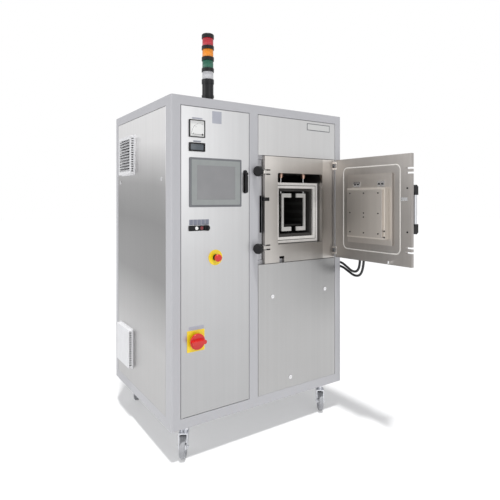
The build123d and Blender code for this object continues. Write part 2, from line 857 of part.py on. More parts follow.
def tower_base():
    """Foot of the signal tower, the black collars between its lamps and the cap."""
    x, y = tower_place
    z = tower_level()
    foot = rod(tower_radius - 3, tower_foot_height, x, y, z)
    for height, thick in ((0, 8), (26, 12), (tower_foot_height - 24, 24)):
        foot += rod(tower_radius, thick, x, y, z + height)
    pieces = [foot]
    for count in range(1, 4):
        collar = z + tower_foot_height + count * (lamp_height + tower_collar) - tower_collar
        pieces.append(rod(tower_radius, tower_collar, x, y, collar))
    top = z + tower_foot_height + 4 * lamp_height + 3 * tower_collar
    cap = rod(tower_radius, 26, x, y, top)
    pieces.append(fillet(cap.faces().sort_by(Axis.Z)[-1].edges(), 8))
    return group(*pieces)


def tower_lamps():
    """The four lenses, white at the bottom, then green, amber and red."""
    x, y = tower_place
    z = tower_level() + tower_foot_height
    pitch = lamp_height + tower_collar
    return group(*[rod(lamp_radius, lamp_height, x, y, z + count * pitch) for count in range(4)])


def castor_places():
    """The four swivel axes in plan: front left, front right, rear left, rear right."""
    dx, dy = castor_inset
    return ((dx, dy), (cabinet_width - dx, dy), (dx, cabinet_depth - dy),
            (cabinet_width - dx, cabinet_depth - dy))


def castor_plates():
    """Top plates of the castors under the bottom rails, each with its kingpin."""
    plates = []
    for x, y in castor_places():
        plate = block(x - 55, x + 55, y - 50, y + 50, castor_height - 8, castor_height)
        plate = fillet(plate.edges().filter_by(Axis.Z), 8)
        plate += rod(kingpin_radius, 40, x, y, castor_height - 46)
        plates.append(plate)
    return group(*plates)


def castor_fork():
    """Swivelling fork of a castor at the origin, trailing along +X, with ball race and axle."""
    crown = castor_height - 8 - seat_gap
    leg_gap = wheel_width / 2 + 3
    body = rod(30, 14, 0, 0, crown - 14) + rod(24, 20, 0, 0, crown - 32)
    top = wheel_radius * 2 + 8
    body += block(-26, castor_trail + 12, -leg_gap - 5, leg_gap + 5, top, top + 6)
    body += rod(24, crown - 30 - top, 0, 0, top)
    for side in (-1, 1):
        outline = [(-26, top + 6), (castor_trail + 12, top + 6), (castor_trail + 16, wheel_radius - 10),
                   (castor_trail - 16, wheel_radius - 10)]
        face = make_face(Polyline(*outline, close=True))
        leg = Rot(90, 0, 0) * Pos(0, 0, -2.5) * extrude(face, 5)
        body += Pos(0, side * (leg_gap + 2.5), 0) * leg
    body += rod(axle_radius, 2 * leg_gap + 22, castor_trail, -leg_gap - 11, wheel_radius, "y")
    return body - rod(kingpin_radius + running_clearance, 60, 0, 0, castor_height - 66)


def castor_wheel():
    """Wheel of a castor with a crowned tread, a dished web and a bored hub."""
    half = wheel_width / 2
    profile = [
        (axle_radius + running_clearance, -half), (16, -half), (20, -half + 7), (42, -half + 7),
        (46, -half + 1), (wheel_radius - 6, -half + 1), (wheel_radius, -half + 8),
        (wheel_radius, half - 8), (wheel_radius - 6, half - 1), (46, half - 1), (42, half - 7),
        (20, half - 7), (16, half), (axle_radius + running_clearance, half),
    ]
    face = make_face(Polyline(*profile, close=True))
    wheel = revolve(face, Axis.Y)
    return Pos(castor_trail, 0, wheel_radius) * wheel


def at_castor(shape, number):
    """Set a castor piece at its swivel, turned to its rest angle."""
    x, y = castor_places()[number]
    return Pos(x, y, 0) * Rot(0, 0, castor_angles[number]) * shape


def opened(shape):
    """Swing a shape of the vessel door from closed to its rest angle."""
    return Pos(hinge_x, hinge_y, 0) * Rot(0, 0, door_open_angle) * Pos(-hinge_x, -hinge_y, 0) * shape


def door_left():
    """X of the closed door's free edge."""
    return hinge_x - door_edge_gap - door_width


def door_faces():
    """Y of the closed door's outer and inner face."""
    return -door_gap - door_thickness, -door_gap


def door_plate():
    """Door plate with clamp notches, hinge knuckles, seal groove, water jacket and nipples."""
    outer_y, inner_y = door_faces()
    left, right = door_left(), hinge_x - door_edge_gap
    low = up(door_bottom)
    plate = block(left, right, outer_y, inner_y, low, low + door_height)
    for rise in clamp_rises:
        for side in (-1, 1):
            low_edge = lug_height / 2 - 1
            high_edge = lug_height / 2 + arm_thickness + 3
            z0, z1 = sorted((up(rise) + side * low_edge, up(rise) + side * high_edge))
            plate -= block(left - 1, left + 39, outer_y - 1, inner_y + 1, z0, z1)
    knuckle = hinge_height / 2 - (hinge_height / 2 - 14) - seat_gap
    for rise in hinge_rise:
        plate -= block(hinge_x - hinge_radius - 7, right + 1, outer_y - 1, inner_y + 1,
                       up(rise) - hinge_height / 2 - 1, up(rise) + hinge_height / 2 + 1)
        plate += rod(hinge_radius, 2 * knuckle, hinge_x, hinge_y, up(rise) - knuckle)
        plate += block(hinge_x - hinge_radius - 8, hinge_x, outer_y + 1, hinge_y + 6,
                       up(rise) - knuckle, up(rise) + knuckle)
        plate -= rod(hinge_pin_radius + running_clearance, hinge_height, hinge_x, hinge_y,
                     up(rise) - hinge_height / 2)
    plate -= seal_path(seal_diameter + 0.3, 5)
    width, height = jacket_box
    middle = up(mouth_bottom + mouth_height / 2)
    jacket = Pos(mouth_centre, outer_y, middle) * Rot(90, 0, 0) * extrude(
        RectangleRounded(width, height, 20), door_jacket_depth)
    jacket = chamfer(jacket.faces().sort_by(Axis.Y)[0].edges(), 6)
    plate += jacket
    nipple_top = middle - height / 2
    for x in nipple_places():
        plate += rod(hose_radius + 2, 22, x, outer_y - door_jacket_depth / 2, nipple_top - 20)
    return opened(plate)


def nipple_places():
    """Closed-door X of the two hose nipples under the water jacket."""
    return hinge_x - 190, hinge_x - 222


def seal_path(width, depth):
    """A rounded rectangular ring round the mouth, cut from the door's inner face."""
    inner_y = door_faces()[1]
    wide, tall = mouth_width + 2 * seal_margin, mouth_height + 2 * seal_margin
    outer = RectangleRounded(wide + width, tall + width, seal_corner + width / 2)
    inner = RectangleRounded(wide - width, tall - width, seal_corner - width / 2)
    ring = extrude(outer - inner, depth)
    middle = up(mouth_bottom + mouth_height / 2)
    return Pos(mouth_centre, inner_y, middle) * Rot(90, 0, 0) * ring


def door_seal():
    """Round seal ring, half sunk in its groove, just clear of the flange when closed."""
    inner_y = door_faces()[1]
    wide, tall = mouth_width + 2 * seal_margin, mouth_height + 2 * seal_margin
    path = RectangleRounded(wide, tall, seal_corner).wire()
    start = path @ 0
    section = Plane(origin=start, z_dir=path % 0) * Circle(seal_diameter / 2)
    ring = sweep(section, path=path, transition=Transition.ROUND)
    y = inner_y + door_gap - seat_gap - seal_diameter / 2
    middle = up(mouth_bottom + mouth_height / 2)
    return opened(Pos(mouth_centre, y, middle) * Rot(90, 0, 0) * ring)


def door_plug():
    """Step plate, insulation block and screwed cover plate on the door's inner face."""
    inner_y = door_faces()[1]
    middle = up(mouth_bottom + mouth_height / 2)
    plug_middle = heater_centre()
    step_wide, step_tall = mouth_width - 14, mouth_height - 14
    step = Pos(mouth_centre, inner_y, middle) * ring_plate(step_wide, step_tall, step_plate, 6)
    base_y = inner_y + step_plate
    base = Pos(mouth_centre, base_y, plug_middle) * ring_plate(plug_base[0], plug_base[1],
                                                               plug_base[2], 3)
    cover_y = base_y + plug_base[2]
    cover = Pos(mouth_centre, cover_y, plug_middle) * ring_plate(plug_front[0], plug_front[1],
                                                                 plug_front[2], 3)
    cover = chamfer(cover.faces().sort_by(Axis.Y)[-1].edges(), 1)
    pieces = [step, base, cover]
    face = cover_y + plug_front[2]
    for column in (-1, 0, 1):
        for row in (-1, 0, 1):
            pieces.append(rod(4, 3, mouth_centre + column * 0.4 * plug_front[0], face,
                              plug_middle + row * 0.42 * plug_front[1], "y"))
    bracket_z = plug_middle + plug_base[1] / 2 + 22
    for side in (-1, 1):
        x = mouth_centre + side * 96
        foot = block(x - 28, x + 28, base_y, base_y + 3, bracket_z - 16, bracket_z + 16)
        foot += rod(5, 8, x - 12, base_y, bracket_z, "y") + rod(5, 8, x + 12, base_y, bracket_z, "y")
        pieces.append(foot)
    return opened(group(*pieces))


def door_handle():
    """Bow handle: two black end brackets and the tube between them."""
    outer_y = door_faces()[0]
    x = door_left() + 27
    middle = up(mouth_bottom + mouth_height / 2)
    reach = outer_y - handle_reach + handle_tube_radius
    pieces = []
    for side in (-1, 1):
        profile = [(0, 13), (-handle_reach + 14, 17), (-handle_reach, 6), (-handle_reach, -42),
                   (-handle_reach + 2 * handle_tube_radius + 4, -42), (-20, -17), (0, -21)]
        points = [(y, side * z) for y, z in profile]
        face = make_face(Polyline(*points, close=True))
        cheek = extrude(Plane.YZ * face, handle_tube_radius, both=True)
        cheek = Pos(x, outer_y, middle + side * handle_span / 2) * cheek
        pieces.append(cheek)
    ends = handle_span / 2 - 42
    grip = rod(handle_tube_radius - 2, 2 * ends, x, reach, middle - ends)
    pieces.append(grip)
    return opened(group(*pieces))


def door_catches():
    """Interlock key plate near the free edge and the catch that enters the flange's lower notch."""
    inner_y = door_faces()[1]
    z = up(interlock_rise())
    key = block(door_left() + 25, door_left() + 74, inner_y, inner_y + 2, z - 10, z + 10)
    key -= rod(3.5, 4, door_left() + 66, inner_y - 1, z, "y")
    catch_x, catch_z = 741, up(flange_bottom + 20)
    catch = block(catch_x - 7, catch_x + 7, inner_y, inner_y + 22, catch_z - 9, catch_z + 9)
    catch = fillet(catch.faces().sort_by(Axis.Y)[-1].edges(), 4)
    return opened(group(key, catch))


def clamp_frame(number, shape):
    """Turn a clamp piece, drawn from its pivot along +X, to its rest angle and place."""
    turn = 180 + clamp_rest_angles[number]
    place = Pos(clamp_pivot_x, clamp_pivot_y, up(clamp_rises[number]))
    return place * Rot(0, 0, turn) * shape


def clamp_yoke(number):
    """Swinging yoke of a clamp: two arms on the pivot pin, joined by a bored bridge."""
    half = lug_height / 2 + loose_clearance / 2
    outer = half + arm_thickness
    yoke = None
    for low in (half, -outer):
        arm = rod(arm_width / 2 + 2, arm_thickness, 0, 0, low)
        arm += block(0, arm_reach, -arm_width / 2, arm_width / 2, low, low + arm_thickness)
        arm -= rod(clamp_pin_radius + running_clearance, arm_thickness + 2, 0, 0, low - 1)
        yoke = arm if yoke is None else yoke + arm
    bridge = block(arm_reach - bridge_length, arm_reach, -11, 11, -outer, outer)
    yoke += fillet(bridge.edges().filter_by(Axis.Z), 4)
    yoke -= rod(screw_radius + running_clearance, bridge_length + 2, arm_reach - bridge_length - 1,
                0, 0, "x")
    return clamp_frame(number, yoke)


def foot_start():
    """Where the pressure foot begins, along the yoke, with the screw drawn back."""
    outer_y = door_faces()[0]
    return clamp_pivot_y - outer_y + seat_gap + screw_travel


def clamp_foot(number):
    """Pressure foot that the screw turns in: a disc with a bored socket."""
    start = foot_start()
    foot = rod(8.5, foot_thickness, start, 0, 0, "x")
    foot -= rod(3 + running_clearance, foot_thickness, start + 2, 0, 0, "x")
    return clamp_frame(number, foot)


def clamp_knob(number):
    """Fluted round knob with its screw, whose tip turns in the pressure foot."""
    start = foot_start()
    knob_start = arm_reach + screw_travel + 4
    screw = rod(screw_radius, knob_start - start - foot_thickness - seat_gap + 1,
                start + foot_thickness + seat_gap, 0, 0, "x")
    screw += rod(3, foot_thickness - 1, start + 2 + seat_gap, 0, 0, "x")
    head = rod(knob_radius, knob_length, knob_start, 0, 0, "x")
    head = fillet(head.faces().sort_by(Axis.X)[-1].edges(), 8)
    head = fillet(head.faces().sort_by(Axis.X)[0].edges(), 6)
    flutes = 8
    for flute in range(flutes):
        groove = rod(8, knob_length + 2, knob_start - 1, 0, knob_radius + 5.5, "x")
        head -= Rot(flute * 360 / flutes, 0, 0) * groove
    head += rod(15, 4, knob_start - 3, 0, 0, "x")
    return clamp_frame(number, head + screw)


def control_door():
    """Control door: a folded sheet with pivot blocks and all its cut-outs."""
    left = post_width + seam
    width = control_bay_width - 2 * seam
    low = up(bottom_rail) + seam
    door = Pos(left, 0, low) * tray(width, control_door_height)
    x, y = control_door_axis()
    bore_radius = pivot_radius + running_clearance
    for z in (low, low + control_door_height - 20):
        door += block(left + 1, x + 8, 1, y + 7, z, z + 20)
    door -= rod(bore_radius, 60, x, y, low - 30)
    door -= rod(bore_radius, 60, x, y, low + control_door_height - 30)
    for rise in (700, 1180):
        door += block(left + 1, left + width - 1, 1, 12, up(rise), up(rise) + 2)

    def cut(centre, wide, tall):
        cx, cz = centre[0], up(centre[1])
        return block(cx - wide / 2, cx + wide / 2, -1, 3, cz - tall / 2, cz + tall / 2)

    door -= cut(hmi_centre, hmi_size[0] - 24, hmi_size[1] - 24)
    door -= cut(meter_centre, meter_size - 4, meter_size - 4)
    door -= cut((meter_centre[0], display_rise), meter_size - 4, display_height - 4)
    door -= cut((latch_centre[0], latch_centre[1] + latch_axis_offset()), 20, 20)
    for x, rise, radius in round_cutouts():
        door -= rod(radius, 4, x, -1, up(rise), "y")
    return door


def latch_axis_offset():
    """Height of the latch's turning axis above the middle of its plate."""
    return latch_size[1] / 2 - 22


def switch_places():
    """Middle of each square switch in the row."""
    return [(switch_first[0] + count * switch_pitch, switch_first[1]) for count in range(4)]


def round_cutouts():
    """X, height and radius of the round holes for switches, emergency stop and isolator."""
    hole = switch_barrel + loose_clearance
    holes = [(x, rise, hole) for x, rise in switch_places()]
    return holes + [(*estop_centre, hole), (*isolator_centre, hole)]


def hmi_panel():
    """Touch panel: raised bezel with a sunken screen, and its case behind the door."""
    wide, tall = hmi_size
    bezel = Pos(0, -6, 0) * ring_plate(wide, tall, 6, 6)
    bezel = fillet(bezel.faces().sort_by(Axis.Y)[0].edges(), 2)
    bezel -= block(-wide / 2 + 36, wide / 2 - 36, -7, -5, -tall / 2 + 32, tall / 2 - 32)
    case_wide, case_tall = wide - 25, tall - 25
    case = block(-case_wide / 2, case_wide / 2, 0, hmi_depth, -case_tall / 2, case_tall / 2)
    return Pos(hmi_centre[0], 0, up(hmi_centre[1])) * (bezel + case)


def instrument_shell(wide, tall, window):
    """A panel instrument: bezel with a sunken window in front, case behind."""
    bezel = Pos(0, -8, 0) * ring_plate(wide, tall, 8, 2)
    bezel -= block(-wide / 2 + window, wide / 2 - window, -9, -3, -tall / 2 + window, tall / 2 - window)
    case_wide, case_tall = wide - 5, tall - 5
    return bezel + block(-case_wide / 2, case_wide / 2, 0, instrument_depth, -case_tall / 2,
                         case_tall / 2)


def panel_instruments():
    """Square moving-coil meter and the flat digital display below it."""
    meter = instrument_shell(meter_size, meter_size, 4)
    x, z = pointer_axis()
    meter -= rod(1.5 + running_clearance, 8, x, -4, z, "y")
    meter = Pos(meter_centre[0], 0, up(meter_centre[1])) * meter
    display = instrument_shell(meter_size, display_height, 7)
    return group(meter, Pos(meter_centre[0], 0, up(display_rise)) * display)


def pointer_axis():
    """The pointer's pivot in the lower right corner, from the middle of the meter."""
    return meter_size / 2 - 16, -meter_size / 2 + 16


def meter_pointer():
    """Pointer of the meter with its hub and pivot, at the left end of the scale."""
    x, z = pointer_axis()
    pointer = rod(5, 1.6, x, -5.4, z, "y") + rod(1.5, 5, x, -4.6, z, "y")
    pointer += block(x - pointer_length, x + 8, -5.2, -4.6, z - 0.8, z + 0.8)
    return Pos(meter_centre[0], 0, up(meter_centre[1])) * pointer


def square_switch(cap_radius):
    """Square bezel and threaded barrel of a switch, bored for its cap or knob."""
    body = Pos(0, -6, 0) * ring_plate(switch_bezel, switch_bezel, 6, 3)
    body += rod(switch_barrel, 34, 0, 0, 0, "y")
    body -= rod(cap_radius + running_clearance, 14, 0, -7, 0, "y")
    return body - rod(4 + running_clearance, 20, 0, 6, 0, "y")


def cap_radius():
    """Radius of the round caps in the square switches."""
    return switch_barrel - 1.5


def switch_bodies():
    """Fixed bodies of the four square switches, the emergency stop and the main switch."""
    bodies = [Pos(x, 0, up(rise)) * square_switch(cap_radius()) for x, rise in switch_places()]
    for (x, rise), radius in ((estop_centre, 18), (isolator_centre, 30)):
        body = rod(radius, 16, 0, -16 - sheet, 0, "y")
        body += rod(switch_barrel, 34 + sheet, 0, -sheet, 0, "y")
        body -= rod(8 + running_clearance, 36, 0, -17 - sheet, 0, "y")
        bodies.append(Pos(x, 0, up(rise)) * body)
    return group(*bodies)


def push_cap(number):
    """Cap and stem of a push button, standing a little proud of its bezel."""
    x, rise = switch_places()[number]
    cap = rod(cap_radius(), 9, 0, -9 + 1, 0, "y")
    cap = fillet(cap.faces().sort_by(Axis.Y)[0].edges(), 1)
    cap += rod(4, 20, 0, 0, 0, "y")
    return Pos(x, 0, up(rise)) * cap


def selector_knob():
    """Round selector with a grip ridge across it."""
    x, rise = switch_places()[3]
    knob = rod(cap_radius(), 8, 0, -6, 0, "y") + rod(4, 20, 0, 1, 0, "y")
    knob += rod(16, 10, 0, -16, 0, "y")
    ridge = block(-4, 4, -26, -14, -15, 15)
    ridge = fillet(ridge.edges().filter_by(Axis.Y), 3)
    return Pos(x, 0, up(rise)) * (knob + ridge)


def yellow_plates():
    """Round yellow shield of the emergency stop and the rectangular one of the main switch."""
    hole = switch_barrel + loose_clearance
    shield = rod(estop_shield_radius, sheet, 0, -sheet, 0, "y") - rod(hole, 4, 0, -3, 0, "y")
    wide, tall = isolator_plate_size
    plate = Pos(0, -sheet, 0) * ring_plate(wide, tall, sheet, 4)
    plate -= rod(hole, 4, 0, -3, 0, "y")
    return group(Pos(estop_centre[0], 0, up(estop_centre[1])) * shield,
                 Pos(isolator_centre[0], 0, up(isolator_centre[1])) * plate)


def estop_head():
    """Mushroom head of the emergency stop on its stem."""
    front = -16 - sheet - estop_travel - seat_gap
    head = rod(estop_head_radius, 20, 0, front - 20, 0, "y")
    head = fillet(head.faces().sort_by(Axis.Y)[0].edges(), 8)
    head = chamfer(head.faces().sort_by(Axis.Y)[-1].edges(), 4)
    head += rod(8, 34, 0, front - 1, 0, "y")
    return Pos(estop_centre[0], 0, up(estop_centre[1])) * head


def isolator_knob():
    """Red disc of the main switch with its grip bar, which lies across at rest."""
    front = -16 - sheet - seat_gap
    disc = rod(isolator_radius, 10, 0, front - 10, 0, "y")
    disc = fillet(disc.faces().sort_by(Axis.Y)[0].edges(), 3)
    bar = block(-isolator_radius + 4, isolator_radius - 2, front - 34, front - 9, -11, 11)
    bar = fillet(bar.edges().filter_by(Axis.Y), 9)
    knob = disc + bar + rod(8, 34, 0, front - 1, 0, "y")
    return Pos(isolator_centre[0], 0, up(isolator_centre[1])) * knob


def latch_base():
    """Base plate of the door latch, with its barrel through the door."""
    wide, tall = latch_size
    plate = Pos(0, -5, 0) * ring_plate(wide, tall, 5, wide / 2 - 1)
    axis = latch_axis_offset()
    plate += block(-9.5, 9.5, 0, 22, axis - 9.5, axis + 9.5)
    plate -= rod(latch_spindle_radius + running_clearance, 40, 0, -10, axis, "y")
    return Pos(latch_centre[0], 0, up(latch_centre[1])) * plate


def latch_spindle():
    """Spindle of the latch: clevis head for the lever in front, tongue behind the door."""
    axis = latch_axis_offset()
    spindle = rod(latch_spindle_radius, 36, 0, -6, axis, "y")
    head = rod(9, 3, 0, -5 - seat_gap - 3, axis, "y")
    for side in (-1, 1):
        x0, x1 = sorted((side * 6, side * 9))
        head += block(x0, x1, -5 - seat_gap - 16, -5 - seat_gap - 2, axis - 7, axis + 7)
    head += rod(2.5, 14, -7, -5 - seat_gap - 10, axis, "x")
    tongue = block(-8, 18, 26, 30, axis - 8, axis + 8)
    return Pos(latch_centre[0], 0, up(latch_centre[1])) * (spindle + head + tongue)


def latch_lever():
    """Lever of the latch, which hangs down from the pin in the spindle's head."""
    axis = latch_axis_offset()
    pin_y = -5 - seat_gap - 10
    lever = rod(5.5, 11, -5.5, pin_y, axis, "x")
    grip = block(-9, 9, pin_y - 5, pin_y + 4, -latch_size[1] / 2 + 4, axis - 9)
    grip = fillet(grip.edges().filter_by(Axis.Y), 7)
    lever += grip
    lever += block(-5.5, 5.5, pin_y - 4, pin_y + 4, axis - 18, axis)
    lever -= rod(2.5 + running_clearance, 20, -10, pin_y, axis, "x")
    return Pos(latch_centre[0], 0, up(latch_centre[1])) * lever


def hose_points(number):
    """Route of a door hose, from its elbow on the cabinet to its nipple under the door jacket."""
    x0, y0 = hose_start_x(), hose_start_y()
    rise = up(elbow_rises()[number])
    outer_y = door_faces()[0]
    closed = Vector(nipple_places()[number], outer_y - door_jacket_depth / 2, 0)
    turn = math.radians(door_open_angle)
    dx, dy = closed.X - hinge_x, closed.Y - hinge_y
    end_x = hinge_x + dx * math.cos(turn) - dy * math.sin(turn)
    end_y = hinge_y + dx * math.sin(turn) + dy * math.cos(turn)
    end_z = up(mouth_bottom + mouth_height / 2) - jacket_box[1] / 2 - 20
    if number == 0:
        middle = [(x0, y0 - 55, rise), (x0 - 2, y0 - 110, rise - 26),
                  (x0 - 8, y0 - 168, rise - 52), (x0 - 22, y0 - 228, rise - 42)]
    else:
        middle = [(x0, y0 - 60, rise), (x0 + 2, y0 - 120, rise - 28),
                  (x0 - 4, y0 - 185, rise - 52), (x0 - 20, y0 - 255, rise - 36)]
    low = [(end_x, end_y, end_z - 60)]
    return [(x0, y0, rise), *middle, *low, (end_x, end_y, end_z)]


def hose(number):
    """One hose as straight runs joined by arcs as large as the runs allow."""
    points = [Vector(*point) for point in hose_points(number)]
    radii = []
    for before, here, after in zip(points, points[1:], points[2:]):
        turn = math.radians((here - before).get_angle(after - here))
        shorter = min((here - before).length, (after - here).length)
        radii.append(0.45 * shorter / math.tan(turn / 2))
    print("hose", number, "radii", [round(radius) for radius in radii])
    path = FilletPolyline(*points, radius=radii)
    section = Plane(origin=path @ 0, z_dir=path % 0) * Circle(hose_radius)
    body = sweep(section, path=path)
    print("hose", number, "length", round(path.length), "volume ratio",
          round(body.volume / (math.pi * hose_radius ** 2 * path.length), 4))
    return body


def door_hoses():
    """Supply and return hose of the door's cooling water."""
    return group(hose(0), hose(1))


def sub_parts():
    """Every sub-part by name, in cabinet coordinates."""
    parts = {
        "frame": frame(), "roof_panel": roof_panel(), "base_plate": base_plate(),
        "partition_wall": partition_wall(), "left_panel": left_panel(),
        "right_panel": right_panel(), "rear_panel": rear_panel(), "front_panels": front_panels(),
        "vessel_flange": vessel_flange(), "vessel_shell": vessel_shell(),
        "insulation_case": insulation_case(), "felt_lining": felt_lining(),
        "heating_elements": heating_elements(), "feedthroughs": feedthroughs(),
        "hearth": hearth(), "vacuum_pump_set": vacuum_pump_set(),
        "water_fittings": water_fittings(), "control_assembly": control_assembly(),
        "filter_grilles": filter_grilles(), "fan_rotor": fan_rotor(),
        "interlock_switch": interlock_switch(), "panel_locks": panel_locks(),
        "tower_base": tower_base(), "tower_lamps": tower_lamps(),
        "castor_plates": castor_plates(), "door_plate": door_plate(), "door_seal": door_seal(),
        "door_plug": door_plug(), "door_handle": door_handle(), "door_catches": door_catches(),
        "control_door": control_door(), "hmi_panel": hmi_panel(),
        "panel_instruments": panel_instruments(), "meter_pointer": meter_pointer(),
        "switch_bodies": switch_bodies(), "button_black": push_cap(0),
        "button_white": push_cap(1), "button_red": push_cap(2), "selector_knob": selector_knob(),
        "yellow_plates": yellow_plates(), "estop_head": estop_head(),
        "isolator_knob": isolator_knob(), "latch_base": latch_base(),
        "latch_spindle": latch_spindle(), "latch_lever": latch_lever(), "door_hoses": door_hoses(),
    }
    for number, place in enumerate(("front_left", "front_right", "rear_left", "rear_right")):
        parts["castor_fork_" + place] = at_castor(castor_fork(), number)
        parts["castor_wheel_" + place] = at_castor(castor_wheel(), number)
    for number, place in enumerate(("lower", "upper")):
        parts["clamp_yoke_" + place] = clamp_yoke(number)
        parts["clamp_foot_" + place] = clamp_foot(number)
        parts["clamp_knob_" + place] = clamp_knob(number)
    return parts


def part_origin():
    """Middle of the whole part in plan, between its outermost reaches."""
    turn = math.radians(door_open_angle)
    outer_y = door_faces()[0]
    far = door_left() - hinge_x
    edge_y = hinge_y + far * math.sin(turn) + (outer_y - hinge_y) * math.cos(turn)
    handle_x = hinge_x + (far + 27) * math.cos(turn) - (outer_y - handle_reach - hinge_y) * math.sin(turn)
    right_x = max(handle_x, hose_start_x() + hose_radius + 2)
    rear_y = cabinet_depth + 22
    return (right_x - filter_proud) / 2, (edge_y + rear_y) / 2


def write_parts():
    """Write each sub-part with the part's origin at the middle of its base."""
    origin_x, origin_y = part_origin()
    os.makedirs("parts", exist_ok=True)
    for name, shape in sub_parts().items():
        export_step(Pos(-origin_x, -origin_y, 0) * shape, "parts/" + name + ".step")


write_parts()
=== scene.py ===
# %% [markdown]
# # Dressing a vacuum retort furnace
#
# The furnace is a cabinet on castors with a water-cooled vessel behind its right-hand door. The
# solids come from the CAD model. This lesson gives them finishes, adds what is too fine for the
# solids, and sets up a camera, a floor and a studio.

# %% Load the frame
import bpy
import math
import numpy as np
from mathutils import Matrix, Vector


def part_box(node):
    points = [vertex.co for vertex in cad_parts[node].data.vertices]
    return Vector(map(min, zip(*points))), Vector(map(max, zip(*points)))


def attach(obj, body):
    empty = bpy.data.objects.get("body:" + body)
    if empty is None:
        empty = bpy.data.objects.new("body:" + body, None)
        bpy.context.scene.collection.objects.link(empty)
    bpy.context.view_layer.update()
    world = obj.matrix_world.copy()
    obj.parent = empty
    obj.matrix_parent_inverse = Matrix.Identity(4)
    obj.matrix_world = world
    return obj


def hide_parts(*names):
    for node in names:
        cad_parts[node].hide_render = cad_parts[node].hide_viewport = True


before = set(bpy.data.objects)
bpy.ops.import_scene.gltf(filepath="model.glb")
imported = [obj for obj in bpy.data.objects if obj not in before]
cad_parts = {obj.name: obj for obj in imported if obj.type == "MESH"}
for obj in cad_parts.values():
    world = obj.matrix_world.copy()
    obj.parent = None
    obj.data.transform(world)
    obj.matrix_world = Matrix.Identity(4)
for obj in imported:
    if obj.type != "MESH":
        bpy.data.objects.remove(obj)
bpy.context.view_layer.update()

# %% [markdown]
# ## One set of coordinates
#
# On the real cabinet everything is measured from a corner of the welded frame. The same is done
# here: a place is given in millimetres from the frame's lower left front corner, and one function
# turns it into metres in the model's own frame. Nothing has to be fitted by eye that way.

# %% Places on the cabinet
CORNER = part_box("frame")[0]


def place(x, y, z):
    """Millimetres from the cabinet's corner, as metres in the model's frame."""
    return Vector((CORNER.x + x / 1000, CORNER.y + y / 1000, CORNER.z + z / 1000))


def metres(points):
    """The same for an array whose last axis holds x, y and z."""
    return np.asarray(points, float) / 1000 + np.array(CORNER)


print("cabinet corner", [round(c, 4) for c in CORNER])

# %% [markdown]
# ## The camera
#
# The photograph was taken level, with a lens that was shifted down a little, so upright edges stay
# upright. Its place was found from the edges of the cabinet: about 2.3 m in front of it and 1 m to
# the left, at the height of the touch panel.

# %% Camera
PICTURE = 500
FOCAL_PIXELS = 452.2
AXIS_PIXEL = (258.0, 198.7)
YAW = math.radians(34.29)

lens = bpy.data.cameras.new("camera")
lens.sensor_width = 36.0
lens.lens = FOCAL_PIXELS * lens.sensor_width / PICTURE
lens.shift_x = (PICTURE / 2 - AXIS_PIXEL[0]) / PICTURE
lens.shift_y = (AXIS_PIXEL[1] - PICTURE / 2) / PICTURE
lens.clip_end = 100
camera = bpy.data.objects.new("camera", lens)
camera.location = place(-976, -2253, 1250)
camera.rotation_euler = (math.radians(90), 0, -YAW)
bpy.context.scene.collection.objects.link(camera)
bpy.context.scene.camera = camera
print("lens", round(lens.lens, 2), "mm")

# %% [markdown]
# ## Shader maths that reads like arithmetic
#
# A finish is a small network of nodes. It could be drawn by hand in Blender, but wiring it that way
# is slow to read and to change. Here one class wraps a socket, and sums and products of sockets
# are written as they are in a formula. Each sign adds the Math node that it stands for.

# %% A socket that can be used in a formula
class Wire:
    """A socket in a node tree. Sums, products and comparisons of wires add Math nodes."""

    def __init__(self, network, socket):
        self.network = network
        self.socket = socket

    def maths(self, operation, *values):
        """One Math node, with the values or wires plugged in from its first socket on."""
        inputs = dict(enumerate(values))
        return self.network.node("ShaderNodeMath", {"operation": operation}, inputs)

    def __add__(self, other):
        return self.maths("ADD", self, other)

    def __radd__(self, other):
        return self.maths("ADD", other, self)

    def __sub__(self, other):
        return self.maths("SUBTRACT", self, other)

    def __rsub__(self, other):
        return self.maths("SUBTRACT", other, self)

    def __mul__(self, other):
        return self.maths("MULTIPLY", self, other)

    def __rmul__(self, other):
        return self.maths("MULTIPLY", other, self)

    def __truediv__(self, other):
        return self.maths("DIVIDE", self, other)

    def larger(self, other):
        """The larger of this wire and another."""
        return self.maths("MAXIMUM", self, other)

    def step(self, low, high):
        """0 below low, 1 above high, and a soft change between them."""
        inputs = {"Value": self, "From Min": low, "From Max": high}
        return self.network.node("ShaderNodeMapRange", {"interpolation_type": "SMOOTHSTEP"}, inputs)


print("wires can be added, subtracted, multiplied and divided")

# %% [markdown]
# ## Any node from one method
#
# Every other node is made the same way: its settings come first, because a Mix node changes its
# sockets with them, and then the values or wires of its sockets. One method does this for the
# finishes as well as for the floor and the world, so the networks below read alike.

